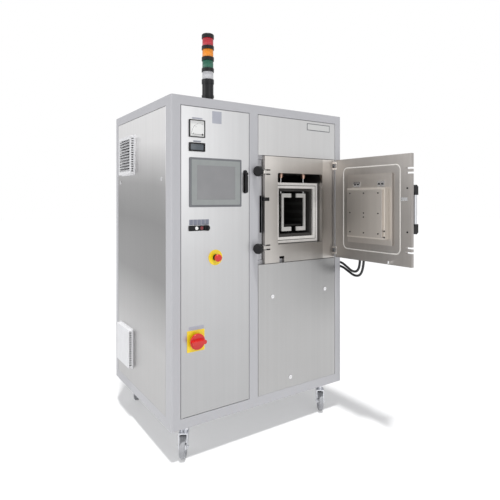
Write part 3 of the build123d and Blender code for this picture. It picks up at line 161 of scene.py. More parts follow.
# %% A node tree under construction
class Network:
    """The node tree of a material or a world, emptied and then built up node by node."""

    def __init__(self, owner):
        self.owner = owner
        owner.use_nodes = True
        self.tree = owner.node_tree
        self.tree.nodes.clear()

    def node(self, kind, settings=(), inputs=(), output=0):
        """Any node: its settings first, then the values or wires of its sockets."""
        made = self.tree.nodes.new(kind)
        for name, value in dict(settings).items():
            if name == "stops":
                self.fill_ramp(made.color_ramp, value)
            else:
                setattr(made, name, value)
        for name, value in dict(inputs).items():
            self.plug(made.inputs[name], value)
        return Wire(self, made.outputs[output]) if made.outputs else None

    def fill_ramp(self, ramp, stops):
        """A colour ramp with these stops of (position, colour)."""
        while len(ramp.elements) < len(stops):
            ramp.elements.new(0.5)
        for element, (position, colour) in zip(ramp.elements, stops):
            element.position = position
            element.color = (*colour, 1.0)

    def plug(self, socket, value):
        """A wire is linked to the socket. A value is written on it, a colour with full alpha."""
        if isinstance(value, Wire):
            self.tree.links.new(value.socket, socket)
        elif hasattr(value, "__len__") and len(value) == 3 and socket.type == "RGBA":
            socket.default_value = (*value, 1.0)
        else:
            socket.default_value = value


print("node trees can be built")

# %% [markdown]
# ## A finish and its measures
#
# A material is one Principled shader here, and its patterns are laid out in millimetres on the
# object's own coordinates. Sizes in a formula can then be read off the real furnace: the width of
# a scratch, or the height at which a panel gets darker. The patterns stay on the piece when it
# moves.

# %% A finish under construction
class Finish(Network):
    """A material with one Principled shader, built up one formula at a time."""

    def __init__(self, name):
        super().__init__(bpy.data.materials.new(name))
        self.material = self.owner
        shader = self.node("ShaderNodeBsdfPrincipled")
        self.shader = shader.socket.node
        self.node("ShaderNodeOutputMaterial", {}, {"Surface": shader})
        self.object = self.node("ShaderNodeTexCoord", output="Object")

    def set(self, **sockets):
        """Sets sockets of the shader. An underscore stands for a space in a socket's name."""
        for name, value in sockets.items():
            self.plug(self.shader.inputs[name.replace("_", " ")], value)
        return self

    def at(self):
        """Millimetres from the cabinet's corner along x, y and z, as three wires."""
        moved = self.node("ShaderNodeVectorMath", {"operation": "SUBTRACT"},
                          {0: self.object, 1: tuple(CORNER)})
        scaled = self.node("ShaderNodeVectorMath", {"operation": "SCALE"},
                           {0: moved, "Scale": 1000.0})
        split = self.node("ShaderNodeSeparateXYZ", {}, {0: scaled})
        outputs = split.socket.node.outputs
        return [Wire(self, outputs[axis]) for axis in "XYZ"]

    def noise(self, size, stretch=(1, 1, 1), detail=4.0, rough=0.55):
        """Cloudy noise. size is the width of its blobs in millimetres."""
        scaled = self.node("ShaderNodeVectorMath", {"operation": "MULTIPLY"},
                           {0: self.object, 1: tuple(1.0 / s for s in stretch)})
        return self.node("ShaderNodeTexNoise", {},
                         {"Vector": scaled, "Scale": 1000.0 / size, "Detail": detail,
                          "Roughness": rough})

    def shade(self, colour, amount):
        """A colour times a number that changes over the surface."""
        grey = self.node("ShaderNodeCombineColor", {}, {0: amount, 1: amount, 2: amount})
        inputs = {0: 1.0, 6: colour, 7: grey}
        settings = {"data_type": "RGBA", "blend_type": "MULTIPLY"}
        return self.node("ShaderNodeMix", settings, inputs, output=2)

    def bump(self, height, depth, strength=1.0):
        """Relief from a height that goes from 0 to 1. depth is in millimetres."""
        normal = self.node("ShaderNodeBump", {},
                           {"Height": height, "Distance": depth / 1000, "Strength": strength})
        return self.set(Normal=normal)


print("shader helpers ready")

# %% [markdown]
# ## Powder coat
#
# The frame is welded tube with a light blue-grey powder coat. Powder that melts in the oven leaves
# a faint orange-peel relief and a satin gloss. Noise in the relief and a very slight change of
# tone are enough, because a stronger pattern would look like dirt.

# %% Powder coat
def powder_coat(name, colour):
    """Satin paint: a tone that varies by a few percent, and a relief of 2 mm blobs."""
    finish = Finish(name)
    cloud = finish.noise(420, detail=3.0)
    peel = finish.noise(2.2, detail=2.0)
    finish.set(Base_Color=finish.shade(colour, 0.96 + cloud * 0.08), Roughness=0.42 + cloud * 0.1)
    return finish.bump(peel, 0.05, 0.35).material


FRAME_PAINT = powder_coat("frame_powder_coat", (0.463, 0.462, 0.480))
print("powder coat", FRAME_PAINT.name)

# %% [markdown]
# ## Brushed stainless sheet
#
# The panels are ground stainless steel. The grain is a bundle of fine scratches in one direction,
# made here with noise that is stretched 160 times along that direction. A photograph of ground
# steel as a texture would repeat, and its scratches would be too wide on a large panel.

# %% Brushed sheet
GRAIN_STRETCH = 160.0  # how many times longer than wide a scratch is


def brushed(name, colour, along, tone=None, roughness=0.34, grain=0.10):
    """Ground steel. along is the grain's axis, tone a function that gives its brightness: painted
    reflections, highlights and shade, and random clouds on the vessel door.
    """
    finish = Finish(name)
    stretch = [1.0, 1.0, 1.0]
    stretch["xyz".index(along)] = GRAIN_STRETCH
    scratch = finish.noise(1.4, stretch, detail=6.0, rough=0.7)
    streak = finish.noise(26, stretch, detail=3.0)
    cloud = finish.noise(300, detail=2.0)
    level = 1.0 - grain / 2 + scratch * grain + (streak - 0.5) * 0.10 + (cloud - 0.5) * 0.06
    if tone:
        level = level * tone(finish)
    finish.set(Base_Color=finish.shade(colour, level), Metallic=1.0,
               Roughness=roughness - 0.06 + scratch * 0.12)
    return finish.bump(scratch, 0.02, 0.25).material


def ramp_tone(finish, amount, stops):
    """A brightness that follows stops of (position, level) along an amount from 0 to 1."""
    colours = [(position, (level,) * 3) for position, level in stops]
    ramp = finish.node("ShaderNodeValToRGB", {"stops": colours}, {0: amount})
    return finish.node("ShaderNodeSeparateColor", {}, {0: ramp})


print("ground steel can be made")

# %% [markdown]
# ## Painted reflections on the panels
#
# A large sheet mirrors the room in broad soft bands. With fine grain alone it would look like grey
# plastic from two metres away. The side sheet shows a bright band on top and a dim one at half
# height. The control door gets lighter towards its top, the panel below the vessel is darkest in
# its upper right corner, and the upper front panel is lighter. A lamp for each of these would upset
# the rest of the object, so these reflections and this shade are painted into the finish's colour:
# stops of (share of the cabinet's height, brightness).

# %% Painted reflections on the sheets
CABINET_HEIGHT = 1812
PANEL_RIGHT = 1196
LOWER_PANEL_TOP = 853
BETWEEN_PANELS = (1490, 1500)  # above these heights the upper panel begins
BAND_WAVE = 0.03               # how far the bands wander, as a share of the height
BAND_SLOPE = 0.00004           # how far they sink per millimetre towards the back
# Painted reflection: brightness stops of the side sheet and of the control door.
SIDE_PAINTED_REFLECTION_STOPS = [(0.0, 0.46), (0.2, 0.50), (0.33, 0.38), (0.42, 0.27), (0.60, 0.28), (0.72, 0.44),
              (0.86, 0.95), (1.0, 1.0)]
CONTROL_DOOR_PAINTED_REFLECTION_STOPS = [(0.0, 0.56), (0.25, 0.60), (0.5, 0.68), (0.75, 0.82), (1.0, 0.86)]


def side_painted_reflection(finish):
    """Painted reflection: bands of a bright ceiling, a dim wall and a bright floor on the side
    sheet.
    """
    _, y, z = finish.at()
    wobble = finish.noise(500, (1, 1, 3), detail=2.0)
    height = z / CABINET_HEIGHT + (wobble - 0.5) * BAND_WAVE - y * BAND_SLOPE
    return ramp_tone(finish, height, SIDE_PAINTED_REFLECTION_STOPS)


def control_door_painted_reflection(finish):
    """Painted reflection: the control door gets lighter from its foot to its top."""
    _, _, z = finish.at()
    return ramp_tone(finish, z / CABINET_HEIGHT, CONTROL_DOOR_PAINTED_REFLECTION_STOPS)


def front_painted_reflection_and_shade(finish):
    """Painted shade: the lower panel darkens towards its upper right corner. Painted reflection:
    the upper panel is lighter.
    """
    x, _, z = finish.at()
    # Painted shade darkens the lower panel's upper right corner; painted reflection lifts the upper
    # panel.
    corner = (x / PANEL_RIGHT).step(0.45, 1.0) * (z / LOWER_PANEL_TOP).step(0.35, 1.0)
    upper = z.step(*BETWEEN_PANELS)
    return 0.57 - corner * (1 - upper) * 0.17 + upper * 0.33


# These sheets carry painted reflections and painted shade in their colour.
SIDE_STEEL = brushed("side_sheet", (0.95, 0.94, 0.935), "z", side_painted_reflection)
CONTROL_STEEL = brushed("control_door_sheet", (0.80, 0.80, 0.805), "z", control_door_painted_reflection)
FRONT_STEEL = brushed("front_sheet", (0.80, 0.795, 0.79), "z", front_painted_reflection_and_shade)
ZINC_SHEET = brushed("zinc_coated_sheet", (0.60, 0.61, 0.63), "z", roughness=0.45)
print("brushed sheets ready")

# %% [markdown]
# ## Ground plate of the flange and the door
# The flange and the vessel door are thick plates ground after welding. Their colour is warmer than
# the sheet's. The right-hand strip of the flange gets a painted highlight, so the tone steps up
# there. Painted highlights also make the flange lighter along its top, at its left edge and at the
# foot of the strip, and the door lighter towards its top.

# %% Ground plates
FLANGE_TOP = 1512
# The lighter strip and left edge of the flange are painted highlights.
STRIP_EDGE = (1080, 1086)  # where the lighter right-hand strip of the flange begins
LEFT_FADE = (640, 800)     # the flange is lighter left of these places


def flange_painted_highlights(finish):
    """Painted highlights: lighter on the right-hand strip, at the left edge and along the top."""
    x, _, z = finish.at()
    strip = x.step(*STRIP_EDGE)
    top = (z / FLANGE_TOP).step(0.86, 0.98)
    left = 1.0 - x.step(*LEFT_FADE)
    foot = 1.0 - (z / FLANGE_TOP).step(0.56, 0.72)
    return 0.46 + strip * (0.14 + top * 0.2 + foot * 0.1) + left * 0.18 + top * 0.34


def vessel_door_clouds_and_painted_highlight(finish):
    """Slightly cloudy, with a painted highlight that makes it lighter towards the top."""
    _, _, z = finish.at()
    cloud = finish.noise(160, (1, 1, 2.5), detail=3.0)
    # Painted highlight towards the top of the door.
    upper = (z / FLANGE_TOP).step(0.84, 1.0)
    return 0.43 + cloud * 0.14 + upper * 0.14


print("tones of the ground plates ready")

# %% Steels
# The flange and the vessel door carry painted highlights in their colour.
FLANGE_STEEL = brushed("flange_plate", (0.82, 0.78, 0.735), "z", flange_painted_highlights, 0.30)
DOOR_STEEL = brushed("vessel_door_plate", (0.80, 0.755, 0.715), "z", vessel_door_clouds_and_painted_highlight, 0.36, 0.16)
PLUG_STEEL = brushed("plug_cover", (0.60, 0.56, 0.515), "z", None, 0.40, 0.14)
PLUG_BASE = brushed("plug_base", (0.74, 0.695, 0.64), "z", None, 0.46, 0.14)
PLUG_STEP = brushed("plug_step", (0.52, 0.485, 0.45), "z", None, 0.42, 0.14)
# Painted shade: the inside of the vessel gets a nearly black steel colour.
VESSEL_WALL_PAINTED_SHADE = brushed("vessel_wall", (0.15, 0.142, 0.135), "y", None, 0.42, 0.12)
HANDLE_TUBE = brushed("handle_tube", (0.60, 0.61, 0.63), "z", None, 0.30)
CLAMP_STEEL = brushed("machined_steel", (0.58, 0.58, 0.58), "x", None, 0.30)
PALE_STEEL = brushed("bright_steel", (0.86, 0.86, 0.86), "z", None, 0.22)
print("ground plates ready")

# %% [markdown]
# ## The hot zone
#
# The case is pressed light grey board with a groove round its rim that is painted dark as shade,
# the lining is dark carbon felt, and the elements are sheet molybdenum, pale on their front plates
# and painted dark behind them as shade. Felt scatters light in every direction and has short
# fibres, so it gets a rough shader and two scales of noise.

# %% Board, felt and refractory metal
def pressed_board(name, colour):
    """Matt ceramic board: fine fibres that lie flat, and faint darker stains."""
    finish = Finish(name)
    fibre = finish.noise(3.0, (1, 3, 1), detail=6.0, rough=0.7)
    stain = finish.noise(70, detail=4.0)
    level = 0.86 + fibre * 0.18 + stain.step(0.45, 0.75) * -0.10
    finish.set(Base_Color=finish.shade(colour, level), Roughness=0.85)
    return finish.bump(fibre, 0.3, 0.5).material


def carbon_felt(name, colour):
    """Black felt: fibres of 2 mm and patches of 30 mm, with a deep relief."""
    finish = Finish(name)
    fibre = finish.noise(2.0, (1, 1, 4), detail=8.0, rough=0.8)
    patch = finish.noise(30, detail=3.0)
    finish.set(Base_Color=finish.shade(colour, 0.6 + fibre * 0.5 + patch * 0.4), Roughness=0.95)
    return finish.bump(fibre, 0.6, 0.8).material


def refractory(name, colour, rough=0.5, metal=1.0):
    """Metal that has been hot: a blotchy bloom over a fine grain."""
    finish = Finish(name)
    bloom = finish.noise(18, detail=6.0, rough=0.7)
    grain = finish.noise(1.5, (1, 1, 8), detail=4.0)
    finish.set(Base_Color=finish.shade(colour, 0.78 + bloom * 0.34 + grain * 0.08),
               Metallic=metal, Roughness=rough - 0.08 + bloom * 0.2)
    return finish.bump(bloom, 0.1, 0.3).material


print("families of hot zone finishes ready")

# %% Colours of the hot zone
CASE_BOARD = pressed_board("case_board", (0.80, 0.775, 0.74))
# Painted shade: the groove in the case gets a nearly black board colour.
GROOVE_PAINTED_SHADE = pressed_board("case_groove", (0.11, 0.10, 0.095))
FELT = carbon_felt("carbon_felt", (0.036, 0.033, 0.031))
HEATER_PALE = refractory("heater_front_plate", (0.56, 0.55, 0.53), 0.6, 0.35)
# Painted shade: the heater parts behind the pale front plates get a dark copy of the same metal.
HEATER_PAINTED_SHADE = refractory("heater_bar", (0.05, 0.048, 0.046), 0.6, 0.35)
HEARTH_METAL = refractory("hearth_metal", (0.045, 0.043, 0.042), 0.6)
COPPER = refractory("copper", (0.56, 0.37, 0.29), 0.34)
BRASS = refractory("plated_brass", (0.62, 0.55, 0.40), 0.3)
print("hot zone finishes ready")

# %% [markdown]
# ## Plastics, rubber and plated parts
#
# Small moulded parts differ in gloss and in a fine texture from the mould. Plated parts are bright
# with slight cloudiness. One function per family keeps them alike.

# %% Plastics and plated parts
def plastic(name, colour, rough=0.4, texture=0.6, coat=0.0, gloss=0.5):
    """Moulded plastic: nearly even colour, and a relief of sparks under 1 mm wide."""
    finish = Finish(name)
    spark = finish.noise(0.9, detail=3.0)
    cloud = finish.noise(40, detail=3.0)
    finish.set(Base_Color=finish.shade(colour, 0.92 + cloud * 0.16),
               Roughness=rough - 0.04 + spark * 0.1, Coat_Weight=coat, Specular_IOR_Level=gloss)
    return finish.bump(spark, 0.05, texture).material


def rubber(name, colour, rough=0.6):
    """Dull rubber with a little dust and fine pores."""
    finish = Finish(name)
    dust = finish.noise(14, detail=5.0, rough=0.7)
    pore = finish.noise(1.2, detail=2.0)
    finish.set(Base_Color=finish.shade(colour, 0.8 + dust * 0.45), Roughness=rough + dust * 0.15)
    return finish.bump(pore, 0.08, 0.5).material


def plated(name, colour, rough=0.18):
    """Bright plated metal with slight clouds in its tone and gloss."""
    finish = Finish(name)
    cloud = finish.noise(16, detail=5.0)
    fine = finish.noise(2.0, detail=3.0)
    finish.set(Base_Color=finish.shade(colour, 0.86 + cloud * 0.24), Metallic=1.0,
               Roughness=rough + cloud * 0.12 + fine * 0.04)
    return finish.bump(cloud, 0.05, 0.25).material


print("families of small-part finishes ready")

# %% Colours of the small parts
BLACK_PLASTIC = plastic("black_plastic", (0.013, 0.013, 0.014), 0.42, gloss=0.22)
TOWER_BLACK = plastic("tower_black", (0.012, 0.012, 0.013), 0.32, coat=0.1, gloss=0.3)
FILTER_GREY = plastic("filter_grey", (0.70, 0.70, 0.71), 0.5)
DEVICE_GREY = plastic("device_grey", (0.42, 0.43, 0.44), 0.5)
BEZEL_DARK = plastic("bezel_dark", (0.16, 0.165, 0.175), 0.4)
YELLOW = plastic("safety_yellow", (0.90, 0.66, 0.01), 0.35, coat=0.3)
RED = plastic("safety_red", (0.62, 0.010, 0.008), 0.30, coat=0.4)
DARK_RED = plastic("dark_red_cap", (0.17, 0.012, 0.018), 0.25, coat=0.4)
WHITE_CAP = plastic("white_cap", (0.86, 0.86, 0.84), 0.3, coat=0.4)
SEAL = rubber("seal_silicone", (0.70, 0.68, 0.64), 0.45)
HOSE_RUBBER = rubber("hose_rubber", (0.022, 0.022, 0.024), 0.42)
TREAD = rubber("wheel_tread", (0.33, 0.335, 0.35), 0.5)
ZINC = plated("zinc_plated", (0.74, 0.75, 0.78), 0.20)
CHROME = plated("chrome_plated", (0.80, 0.80, 0.81), 0.12)
DARK_METAL = plated("dark_metal", (0.035, 0.035, 0.037), 0.3)
PUMP_PAINT = powder_coat("pump_paint", (0.10, 0.14, 0.20))
print("small-part finishes ready")

# %% [markdown]
# ## Dressing the solids
#
# Most solids keep their shape and only take a finish. A list of nodes and finishes is enough for
# them, and it is easy to compare with the names in the model.

# %% Give finishes to the solids
def face_centres(node):
    """The middle of each face of a node, in millimetres from the cabinet's corner."""
    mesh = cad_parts[node].data
    centres = np.empty(len(mesh.polygons) * 3, np.float32)
    mesh.polygons.foreach_get("center", centres)
    return (centres.reshape(-1, 3) - np.array(CORNER)) * 1000


def dress(node, *materials, choose=None):
    """Give a node its materials. choose turns the face centres into material numbers."""
    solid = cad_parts[node]
    solid.data.materials.clear()
    for material in materials:
        solid.data.materials.append(material)
    numbers = np.zeros(len(solid.data.polygons), np.int32)
    if choose is not None:
        numbers = choose(face_centres(node)).astype(np.int32)
    solid.data.polygons.foreach_set("material_index", numbers)


print("solids can be dressed")

# %% One finish for a whole node
CASTOR_CORNERS = ("front_left", "front_right", "rear_left", "rear_right")
PLAIN = {
    "frame": FRAME_PAINT, "roof_panel": FRAME_PAINT, "base_plate": ZINC_SHEET,
    "partition_wall": ZINC_SHEET, "left_panel": SIDE_STEEL, "right_panel": SIDE_STEEL,
    "rear_panel": SIDE_STEEL, "front_panels": FRONT_STEEL, "vessel_flange": FLANGE_STEEL,
    "vessel_shell": VESSEL_WALL_PAINTED_SHADE, "felt_lining": FELT, "hearth": HEARTH_METAL,
    "vacuum_pump_set": PUMP_PAINT, "water_fittings": BRASS, "control_assembly": DEVICE_GREY,
    "filter_grilles": FILTER_GREY, "fan_rotor": BLACK_PLASTIC, "interlock_switch": BLACK_PLASTIC,
    "panel_locks": CHROME, "tower_base": TOWER_BLACK, "castor_plates": ZINC,
    "door_plate": DOOR_STEEL, "door_seal": SEAL,
    "door_catches": PALE_STEEL, "control_door": CONTROL_STEEL, "hmi_panel": BEZEL_DARK,
    "panel_instruments": BLACK_PLASTIC, "meter_pointer": DARK_METAL,
    "switch_bodies": BLACK_PLASTIC, "button_black": BLACK_PLASTIC, "button_white": WHITE_CAP,
    "button_red": DARK_RED, "selector_knob": BLACK_PLASTIC, "yellow_plates": YELLOW,
    "estop_head": RED, "isolator_knob": RED, "latch_base": DARK_METAL,
    "latch_spindle": DARK_METAL, "latch_lever": DARK_METAL,
}
for node, material in PLAIN.items():
    dress(node, material)
for clamp in ("lower", "upper"):
    dress("clamp_yoke_" + clamp, CLAMP_STEEL)
    dress("clamp_foot_" + clamp, CLAMP_STEEL)
    dress("clamp_knob_" + clamp, BLACK_PLASTIC)
for corner in CASTOR_CORNERS:
    dress("castor_fork_" + corner, ZINC)
print("plain finishes", len(PLAIN))

# %% [markdown]
# ## Several finishes on one solid
#
# Some nodes hold pieces of different materials, such as the bright tube of the handle between its
# black brackets, or the tread on a wheel. They could be cut apart by hand. Here a short test on the
# middle of each face tells the pieces apart instead, and it still works when a size changes a
# little. The first material is number 0.

# %% Handle, case and heaters
TUBE_REACH = 84.5           # the tube ends this far above and below its middle
GROOVE_DEPTHS = (0.5, 4.5)  # the groove's walls and floor, behind the front face of the case
CEILING = 1411              # the ceiling of the vessel
LEAD_DROP = 27.5            # the leads begin this far below the ceiling
HEATER_PLATE = 11           # the front plates of the heating elements end here


def handle_finish(centres):
    """The tube lies between the two end brackets."""
    middle = centres[:, 2].mean()
    return np.abs(centres[:, 2] - middle) < TUBE_REACH


def case_groove_shade_faces(centres):
    """The groove round the rim of the case, in its front face, painted dark as shade."""
    depth = centres[:, 1] - centres[:, 1].min()
    return (depth > GROOVE_DEPTHS[0]) & (depth < GROOVE_DEPTHS[1])


def feedthrough_finish(centres):
    """A lead drops from each copper body, thin and pale."""
    return centres[:, 2] < CEILING - LEAD_DROP


def painted_shade_behind_front_plates(centres):
    """What lies behind the front plates of the heating elements, painted dark as shade."""
    return centres[:, 1] > centres[:, 1].min() + HEATER_PLATE


# Painted shade: the heaters' second finish and the case's groove finish are dark where shade falls.
dress("heating_elements", HEATER_PALE, HEATER_PAINTED_SHADE, choose=painted_shade_behind_front_plates)
dress("door_handle", BLACK_PLASTIC, HANDLE_TUBE, choose=handle_finish)
dress("insulation_case", CASE_BOARD, GROOVE_PAINTED_SHADE, choose=case_groove_shade_faces)
dress("feedthroughs", COPPER, PALE_STEEL, choose=feedthrough_finish)
print("handle, case and heaters dressed")

# %% Plug of the door
HINGE = (1196, -15)  # x and y of the axis of the door's hinge
DOOR_ANGLE = 91      # the door stands open by this many degrees
STEP_TOP = 9.1       # depths on the closed door: just above the step plate,
BASE_TOP = 41.1      # just above the plug's base,
COVER_TOP = 56.2     # and just above its cover, where only screw heads are
FOOT_TOP = 12.2      # just above the feet of the two brackets
PLUG_TOP = 1318      # height of the plug's upper edge


def swung_shut(centres):
    """The closed-door place of points on the open door: turned back about the hinge."""
    turn = math.radians(DOOR_ANGLE)
    dx, dy = centres[:, 0] - HINGE[0], centres[:, 1] - HINGE[1]
    x = HINGE[0] + dx * math.cos(turn) + dy * math.sin(turn)
    y = HINGE[1] - dx * math.sin(turn) + dy * math.cos(turn)
    return np.stack([x, y, centres[:, 2]], -1)


def plug_finish(centres):
    """Step plate, base, cover, screw heads and the two brackets, told apart by depth."""
    shut = swung_shut(centres)
    depth = shut[:, 1]
    number = np.select([depth > COVER_TOP, depth > BASE_TOP, depth > STEP_TOP], [3, 0, 1], 2)
    bracket = (shut[:, 2] > PLUG_TOP + 3) & (depth > STEP_TOP)
    return np.where(bracket, np.where(depth > FOOT_TOP, 3, 4), number)


dress("door_plug", PLUG_STEEL, PLUG_BASE, PLUG_STEP, DARK_METAL, CHROME, choose=plug_finish)
print("plug dressed")

# %% Wheels
TREAD_RADIUS = 47.5


def wheel_finish(corner):
    """The tread is what lies further than its inner radius from the wheel's middle."""
    low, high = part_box("castor_wheel_" + corner)
    middle = ((np.array(low) + np.array(high)) / 2 - np.array(CORNER)) * 1000

    def choose(centres):
        """Number 1, the hub, where a face is near the middle."""
        return np.linalg.norm(centres - middle, axis=1) < TREAD_RADIUS
    return choose


for corner in CASTOR_CORNERS:
    dress("castor_wheel_" + corner, TREAD, ZINC, choose=wheel_finish(corner))
print("wheels dressed", len(CASTOR_CORNERS))

# %% [markdown]
# ## Surfaces from formulas
#
# New pieces are grids of points. They could be built from Blender's own cylinders and cubes, but a
# formula gives the exact profile, and the whole grid is worked out as one array. Every piece then
# gets its material and its body in one place.

# %% From points to a piece
CREASE = math.radians(35)  # edges sharper than this stay sharp on a smooth piece


def mesh_piece(name, points, faces, material, body, smooth=True):
    """A finished piece at the origin, riding on a body."""
    mesh = bpy.data.meshes.new(name)
    mesh.from_pydata(np.asarray(points).tolist(), [], faces)
    mesh.materials.append(material)
    mesh.polygons.foreach_set("use_smooth", np.full(len(mesh.polygons), smooth))
    mesh.update()
    piece = bpy.data.objects.new(name, mesh)
    bpy.context.scene.collection.objects.link(piece)
    if smooth:
        split = piece.modifiers.new("sharp_edges", "EDGE_SPLIT")
        split.split_angle = CREASE
    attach(piece, body)
    return piece


def grid_faces(rows, columns):
    """Faces of a grid that closes on itself along its columns."""
    row, column = np.meshgrid(np.arange(rows - 1), np.arange(columns), indexing="ij")
    after = (column + 1) % columns
    corners = [row * columns + column, row * columns + after,
               (row + 1) * columns + after, (row + 1) * columns + column]
    return np.stack(corners, -1).reshape(-1, 4).tolist()


def merged(parts):
    """Several (points, faces) as one."""
    points, faces, count = [], [], 0
    for some, some_faces in parts:
        points.append(some)
        faces += [[index + count for index in face] for face in some_faces]
        count += len(some)
    return np.concatenate(points), faces


print("grids become pieces")

# %% [markdown]
# ## Turned pieces
#
# Lenses, screw heads and clips are turned parts. Such a shape is a profile of radius and height
# carried round an axis. A wave on the radius gives ribs, which a plain Spin could not do.

# %% Turned pieces
def axes_towards(direction):
    """Two axes square to a direction, and the direction itself."""
    out = np.asarray(direction, float)
    out = out / np.linalg.norm(out)
    helper = np.array([0.0, 0.0, 1.0]) if abs(out[2]) < 0.9 else np.array([0.0, 1.0, 0.0])
    across = np.cross(helper, out)
    across = across / np.linalg.norm(across)
    return across, np.cross(out, across), out


def turned(profile, centre, direction, sides=32, wave=None):
    """Points of a profile (radius, height) turned about a direction through a centre.

    A point is centre + height * direction + radius * (cos a * across + sin a * up). wave gives a
    factor on the radius for each angle a.
    """
    across, up, out = axes_towards(direction)
    angle = np.arange(sides) * 2 * np.pi / sides
    radius, height = np.asarray(profile, float).T
    factor = np.ones((len(radius), sides)) if wave is None else wave(angle, radius)
    ring = np.cos(angle)[:, None] * across + np.sin(angle)[:, None] * up
    points = radius[:, None, None] * factor[..., None] * ring + height[:, None, None] * out
    return (points + np.asarray(centre, float)).reshape(-1, 3), grid_faces(len(radius), sides)


def turned_piece(name, profile, centres, direction, material, body, sides=32, wave=None):
    """One piece made of the same turned shape at one or more centres in cabinet millimetres."""
    parts = [turned(profile, centre, direction, sides, wave) for centre in centres]
    points, faces = merged(parts)
    return mesh_piece(name, metres(points), faces, material, body)


print("turned pieces ready")

# %% [markdown]
# ## Rounded plates
#
# Labels, dials and panes are thin plates with rounded corners. The outline is a rounded rectangle
# sampled by angle. Carrying it through a small inset at the front edge gives the plate a bevel
# that catches the light, and a last ring shrunk to a point closes it.

# %% Plates
def rounded_outline(width, height, radius, per_corner=6):
    """Corner by corner: the corner's centre plus radius times (cos, sin) of a quarter turn."""
    quarter = np.linspace(0, np.pi / 2, per_corner)
    corners = []
    for turn, (sx, sy) in enumerate(((1, 1), (-1, 1), (-1, -1), (1, -1))):
        angle = quarter + turn * np.pi / 2
        centre = np.array([sx * (width / 2 - radius), sy * (height / 2 - radius)])
        corners.append(centre + radius * np.stack([np.cos(angle), np.sin(angle)], -1))
    return np.concatenate(corners)


def plate(centre, width, height, thickness, radius=2.0, bevel=0.3):
    """A plate that faces -Y. Rings: back centre, back edge, front edge, bevel, front centre."""
    rings = []
    for inset, depth, shrink in ((0, 0, 0), (0, 0, 1), (0, thickness - bevel, 1),
                                 (bevel, thickness, 1), (0, thickness, 0)):
        outline = rounded_outline(width - 2 * inset, height - 2 * inset, max(radius - inset, 0.05))
        outline = outline * (1.0 if shrink else 0.0)
        ring = np.stack([outline[:, 0], np.full(len(outline), -depth), outline[:, 1]], -1)
        rings.append(ring + np.asarray(centre, float))
    points = np.concatenate(rings)
    faces = [face[::-1] for face in grid_faces(len(rings), len(rings[0]))]
    return points, faces


def plate_piece(name, plates, material, body):
    """One piece made of several plates, each (centre, width, height, thickness, radius)."""
    points, faces = merged([plate(*some) for some in plates])
    return mesh_piece(name, metres(points), faces, material, body)


print("plate helper ready")

# %% [markdown]
# ## Bare plates
#
# Such a cabinet carries a nameplate, instrument tags and tiles over its switches. They stay blank
# here. They are engraved-plastic grey or anodised, each half a millimetre to a millimetre thick.

# %% Label finishes and plates
TAG_GREY = plastic("tag_grey", (0.40, 0.41, 0.46), 0.5)
TAG_DARK = plastic("tag_dark", (0.20, 0.21, 0.26), 0.5)
ANODISED = brushed("anodised_plate", (0.72, 0.72, 0.71), "x", None, 0.4)

FIRST_TILE, TILE_PITCH, TILES = 117, 24.5, 5
tiles = [((FIRST_TILE + TILE_PITCH * count, 0, 1119.5), 22.5, 31, 1.0, 1.5)
         for count in range(TILES)]
# Each plate: the middle of its back, then its width, height, thickness and corner radius.
PLATES = {
    "rating_plate": ([((278, 0, 1710.5), 60, 69, 0.8, 1.5)], TAG_GREY, "control_door"),
    "instrument_tags": ([((154.5, 0, 1694), 63, 9, 0.8, 1.0), ((153.5, 0, 1567), 47, 9, 0.8, 1.0)],
                        TAG_GREY, "control_door"),
    "switch_tiles": (tiles, TAG_DARK, "control_door"),
    "main_switch_tag": ([((149, 0, 538), 92, 20, 0.8, 1.0)], TAG_GREY, "control_door"),
    "blank_nameplate_rim": ([((1045.5, 0, 1719), 199, 46, 1.0, 2.0)], BEZEL_DARK, "cabinet"),
    "blank_nameplate": ([((1045.5, -1.0, 1719), 189, 36, 0.4, 1.5)], ANODISED, "cabinet"),
}
for name, (shapes, material, body) in PLATES.items():
    plate_piece(name, shapes, material, body)
print("plates ready", len(PLATES))

# %% [markdown]
# ## Touch panel, meter and display
#
# The touch panel has a dark outer edge, a lighter inner frame and a grey glass pane that is off.
# The meter has a white card with an arc of ticks behind glass. The card, ticks and numbers are
# real thin pieces, so they hold up in a close view.

# %% Panes
def glass_pane(name, colour, rough=0.12):
    """Dark glass that is seen from outside: a glossy coat over a faintly cloudy tone."""
    finish = Finish(name)
    cloud = finish.noise(120, detail=2.0)
    level = 0.9 + cloud * 0.2
    finish.set(Base_Color=finish.shade(colour, level), Roughness=rough, Coat_Weight=0.6)
    return finish.material


SCREEN = glass_pane("screen_glass", (0.235, 0.235, 0.24), 0.3)
INNER_FRAME = plastic("screen_frame", (0.285, 0.30, 0.295), 0.42)
DARK_GLASS = glass_pane("display_glass", (0.065, 0.08, 0.095))
CARD = plastic("meter_card", (0.82, 0.82, 0.80), 0.6)
INK = plastic("printed_ink", (0.03, 0.03, 0.03), 0.6)

METER = (152, 1637)  # x and z of the middle of the meter
PANES = {
    "screen_inner_frame": (((272.5, -6, 1340.5), 311, 251, 1.2, 6), INNER_FRAME, "hmi_plastic"),
    "screen_glass": (((272.5, -7.2, 1340.5), 246, 190, 0.5, 2), SCREEN, "hmi_plastic"),
    "meter_card": (((METER[0], -3.0, METER[1]), 87, 87, 0.6, 1), CARD, "instrument_case"),
    "display_glass": (((150, -3.0, 1535), 81, 33, 2.5, 1), DARK_GLASS, "instrument_case"),
}
for name, (shape, material, slot) in PANES.items():
    plate_piece(name, [shape], material, "control_door")
print("panes ready", len(PANES))

# %% [markdown]
# ## The meter's scale
#
# A moving-coil meter has its pivot in one corner and a scale of a quarter turn round it. The arc
# and each tick are flat strips between two radii, a twentieth of a millimetre in front of the
# card. Ink as a texture would blur when the camera comes near.

